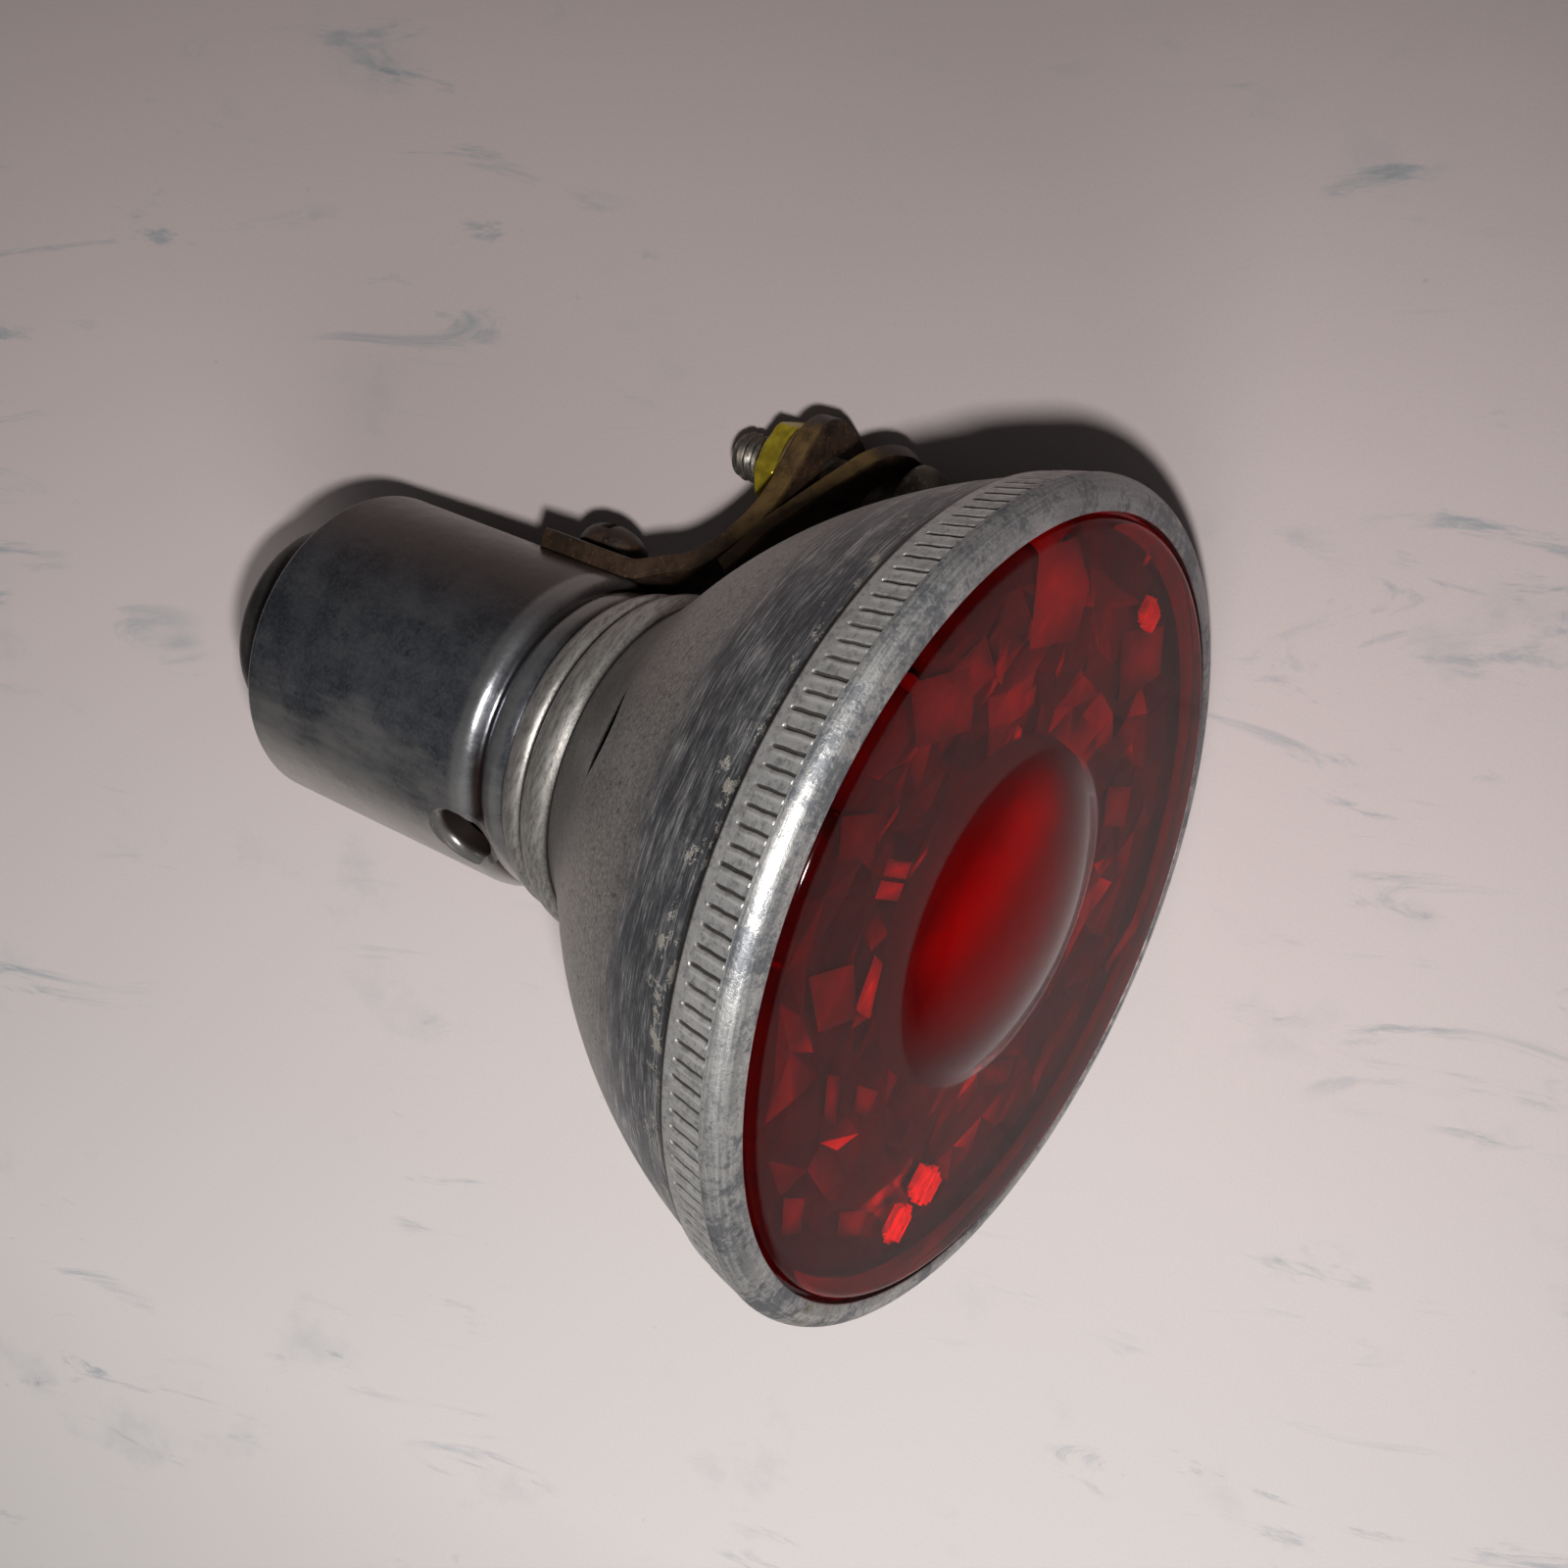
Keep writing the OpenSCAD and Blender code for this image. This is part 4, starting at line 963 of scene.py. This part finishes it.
def makeGlints(row):
    # clusters of steep little prisms that send a lamp's light straight back; they fill an oval
    work = bmesh.new()
    shine = work.loops.layers.float.new("shine")
    low = row["floor"]
    for x0, z0, x1, z1, count in row["clusters"]:
        wide = (x1 - x0) / count
        for i in range(count):
            lean = row["lean"] * (hashed(i, count, 4) - 0.5)
            a, b = x0 + wide * i, x0 + wide * (i + 1)
            short = (z1 - z0) / 2 * (1 - math.sqrt(1 - row["oval"] * ((2 * i + 1) / count - 1) ** 2))
            z2, z3 = z0 + short, z1 - short
            top = low + row["rise"] * (1 - row["uneven"] * hashed(i, count, 6))
            points = [(a, low, z2 + lean), (a, low, z3 + lean), (b, top, z3 - lean), (b, top, z2 - lean),
                      (b, low, z2 - lean), (b, low, z3 - lean)]
            v = [work.verts.new(axisPoint(*point)) for point in points]
            for k in ((0, 1, 2, 3), (3, 2, 5, 4), (0, 4, 5, 1), (0, 3, 4), (1, 5, 2)):
                for loop in work.faces.new([v[n] for n in k]).loops:
                    loop[shine] = 1.0
    dressPiece(closedObject("lens_glints", work), [glintMetal], "front", (), 20)


makeLens(lensRow)
makePlates()
makeGlints(glintRow)


print("rear light: bracket and fixings")
# tab is the station of the upright tab's middle, tail the tail's radius, rear the foot's rear end
stripRow = {"width": 10.0, "thick": 1.5, "top": 29.8, "corner": 3.6, "startCorner": 0.8, "tail": 12.43,
            "rear": -44.95, "tab": -27.75}
leafRow = {"thick": 1.2, "lean": 33.4, "length": 12.1, "corner": 4.0, "root": (-27.6, 19.2)}


def cornered(half, corner, left):
    # half the width of a strip with rounded corners, left mm from its end
    return half if left >= corner else half - corner + math.sqrt(max(0, corner ** 2 - (corner - left) ** 2))


def stripSheet(name, path, width, thick, wrap, corner, startCorner=0.0):
    # a strip of sheet: path of (station, radius), wrapped round the tail where wrap(s) is 1
    lengths = [0.0]
    for a, b in zip(path, path[1:]):
        lengths.append(lengths[-1] + math.dist(a, b))
    rows = []
    work = bmesh.new()
    columns, uneven = 14, 0.03
    for (s, r), along in zip(path, lengths):
        half = min(cornered(width / 2, corner, lengths[-1] - along), cornered(width / 2, startCorner, along))
        half = max(half, 0.3)
        w = wrap(s)
        row = []
        for k in range(columns + 1):
            v = half * (2 * k / columns - 1)
            x = r * math.sin(v / r) * w + v * (1 - w)
            rr = r * math.cos(v / r) * w + r * (1 - w)
            row.append(work.verts.new(axisPoint(x, s + uneven * lump(v * 0.5, s * 0.5, r * 0.4),
                                                -(rr + uneven * lump(s * 0.6, v * 0.6, 1.0)))))
        rows.append(row)
    for a, b in zip(rows, rows[1:]):
        for k in range(columns):
            work.faces.new((a[k], a[k + 1], b[k + 1], b[k]))
    piece = closedObject(name, work)
    solid = piece.modifiers.new("thickness", "SOLIDIFY")
    solid.thickness, solid.offset, solid.use_even_offset = thick * mm, 0.0, True
    bevel = piece.modifiers.new("edges", "BEVEL")
    bevel.width, bevel.segments, bevel.limit_method, bevel.angle_limit = 0.22 * mm, 3, "ANGLE", math.radians(50)
    keepMesh(piece)
    return piece


def makeBracket(row, leaf):
    inset, thinner = 0.02, 0.03     # room for the unevenness inside the CAD's outline
    foot = row["tail"] + row["thick"] / 2 + inset
    bend = [(-37.2, foot), (-35.4, foot + 0.06), (-33.5, 13.62), (-31.9, 14.1), (-30.7, 15.05), (-29.55, 16.6),
            (-28.75, 18.25), (-28.2, 19.75), (-27.88, 21.1), (-27.76, 22.4), (row["tab"], 23.6)]
    path = dense([(row["rear"], foot), bend[0]], 0.5)[:-1] + smoothLine(bend, 3)
    path += dense([bend[-1], (row["tab"], row["top"] - inset)], 0.3)[1:]

    def wrap(s):
        # 1 on the tail, 0 from the foot's front end on
        t = min(1.0, max(0.0, (-32.2 - s) / 4.0))
        return t * t * (3 - 2 * t)

    width = row["width"] - 2 * inset
    strip = stripSheet("rusty_strip", path, width, row["thick"] - thinner, wrap, row["corner"], row["startCorner"])
    # the leaf leans away from the tab
    lean, half = math.radians(leaf["lean"]), leaf["thick"] / 2
    up, side = (math.sin(lean), math.cos(lean)), (math.cos(lean), -math.sin(lean))
    root = (leaf["root"][0] + half * side[0], leaf["root"][1] + half * side[1])
    tip = (root[0] + up[0] * leaf["length"], root[1] + up[1] * leaf["length"])
    path = smoothLine([(-28.72, 15.0), (-28.1, 16.2), (-27.62, 17.4), root])[:-1] + dense([root, tip], 0.3)
    blade = stripSheet("rusty_leaf", path, width, leaf["thick"] - thinner, lambda s: 0.0, leaf["corner"])
    dressPiece(strip, [rustStrip], "housing", ["bracket_strip"], 35)
    dressPiece(blade, [rustStrip], "housing", ["bracket_leaf"], 35)


def box(low, high):
    work = bmesh.new()
    bmesh.ops.create_cube(work, size=1.0)
    for v in work.verts:
        v.co = Vector([(low[i] + (high[i] - low[i]) * (v.co[i] + 0.5)) * mm for i in range(3)])
    return closedObject("cutter", work)


# under is the height of the head's underside above the lamp axis
footScrewRow = {"steps": 64, "under": 13.93, "height": 2.5, "slotWidth": 0.8, "slotDepth": 1.05}


def makeFootScrew(row):
    under, height, half = row["under"], row["height"], row["slotWidth"] / 2
    head = smoothLine([(2.85, under + 0.6), (2.7, under + 1.2), (2.25, under + 1.8), (1.5, under + 2.25),
                       (0.75, under + 2.46), (0.0, under + height)])
    profile = [(0, 8.4), (1.3, 8.4), (1.7, 8.8), (1.7, under + 0.03), (2.75, under + 0.03), (2.85, under + 0.15)] + head
    piece = turned("round_screw", profile, row["steps"], screwPoint)
    top = axisHeight - under - height
    cutAway(piece, box((-4, screwPlace - half, top - 1), (4, screwPlace + half, top + row["slotDepth"])))
    dressPiece(piece, [rustFixing], "housing", ["foot_screw"], 34)


# the thread runs from one station to the other
boltRow = {"steps": 60, "radius": 1.93, "pitch": 0.7, "depth": 0.32, "threadRear": -35.2, "threadFront": -28.8}


def makeClampBolt(row):
    radius, pitch, depth, low, high = [row[k] for k in ("radius", "pitch", "depth", "threadRear", "threadFront")]

    def thread(r, s, angle):
        if low < s < high and r > 1.5:
            phase = (s / pitch - angle / 360) % 1
            return r - depth * min(1, (s - low) / 0.5, (high - s) / 0.5) * abs(2 * phase - 1), s
        return r, s

    tip = smoothLine([(0.0, -35.68), (0.8, -35.62), (1.35, -35.42), (1.72, -35.08), (1.92, -34.7)])
    shank = [(radius, -34.7 + pitch / 8 * i) for i in range(1, 68)] + [(radius, -28.6), (radius, -19.62)]
    shank += [(3.3, -19.62), (3.38, -19.5)]
    dome = smoothLine([(3.38, -19.0), (3.1, -18.4), (2.3, -17.85), (1.2, -17.5), (0.0, -17.42)])
    piece = turned("clamp_screw", tip + shank + dome, row["steps"], boltPoint, thread)
    dressPiece(piece, [boltMetal], "housing", ["clamp_bolt"], 40)


# wave is how far the washer's edge is from round
washerRow = {"steps": 72, "face": -28.53, "thick": 0.78, "outer": 4.38, "bore": 2.06, "wave": 0.02}


def makeWasher(row):
    face, outer, bore = row["face"], row["outer"], row["bore"]
    rear = face - row["thick"]

    def waved(r, s, angle):
        return r + row["wave"] * math.sin(math.radians(angle * 3)), s

    flat = [(bore, face), (outer - 0.12, face), (outer, face - 0.12), (outer, rear + 0.15),
            (outer - 0.15, rear), (bore, rear)]
    piece = turned("seat_washer", flat, row["steps"], boltPoint, waved)
    dressPiece(piece, [zincDull], "washer", ["clamp_washer"], 30)


# edge is the length of the chamfer at each end
nutRow = {"steps": 120, "flats": 7.0, "rear": -31.7, "front": -29.37, "edge": 0.42}


def makeNut(row):
    flats, rear, front, edge = [row[k] for k in ("flats", "rear", "front", "edge")]
    corner = flats / 2 / math.cos(math.radians(30))

    def hexed(r, s, angle):
        side = flats / 2 / math.cos(math.radians((angle + 30) % 60 - 30)) - 0.03
        return (min(r, side) if r > 2.3 else r), s

    cham = [(2.0, rear + 0.05), (2.25, rear), (3.1, rear), (3.45, rear + 0.06), (corner - 0.25, rear + 0.2),
            (corner, rear + edge)]
    cham += [(corner, rear + edge + (front - rear - 2 * edge) * i / 8) for i in range(1, 9)]
    cham += [(corner - 0.25, front - 0.2), (3.45, front - 0.06), (3.1, front), (2.25, front), (2.0, front - 0.05)]
    piece = turned("hexagon_nut", cham, row["steps"], boltPoint, hexed)
    dressPiece(piece, [zincYellow], "nut", ["clamp_nut"], 28)


makeBracket(stripRow, leafRow)
makeFootScrew(footScrewRow)
makeClampBolt(boltRow)
makeWasher(washerRow)
makeNut(nutRow)


print("rear light: inner pieces")
# these stay as the CAD made them
inner = {"lens_gasket": rubber, "bulb_glass": bulbClear, "bulb_cap": brass, "bulb_insulator": blackGlass,
         "bulb_tip": solder, "bulb_filament": wireSteel, "socket_shell": brass, "socket_carrier": board,
         "contact_plunger": brass, "contact_spring": wireSteel, "terminal_bar": brass, "terminal_screw": brass,
         "foot_nut": plainNut}
for name, finish in inner.items():
    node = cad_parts[name]
    if not node.material_slots:
        node.data.materials.append(finish)
    for place in node.material_slots:
        place.material = finish

print("rear light: done")
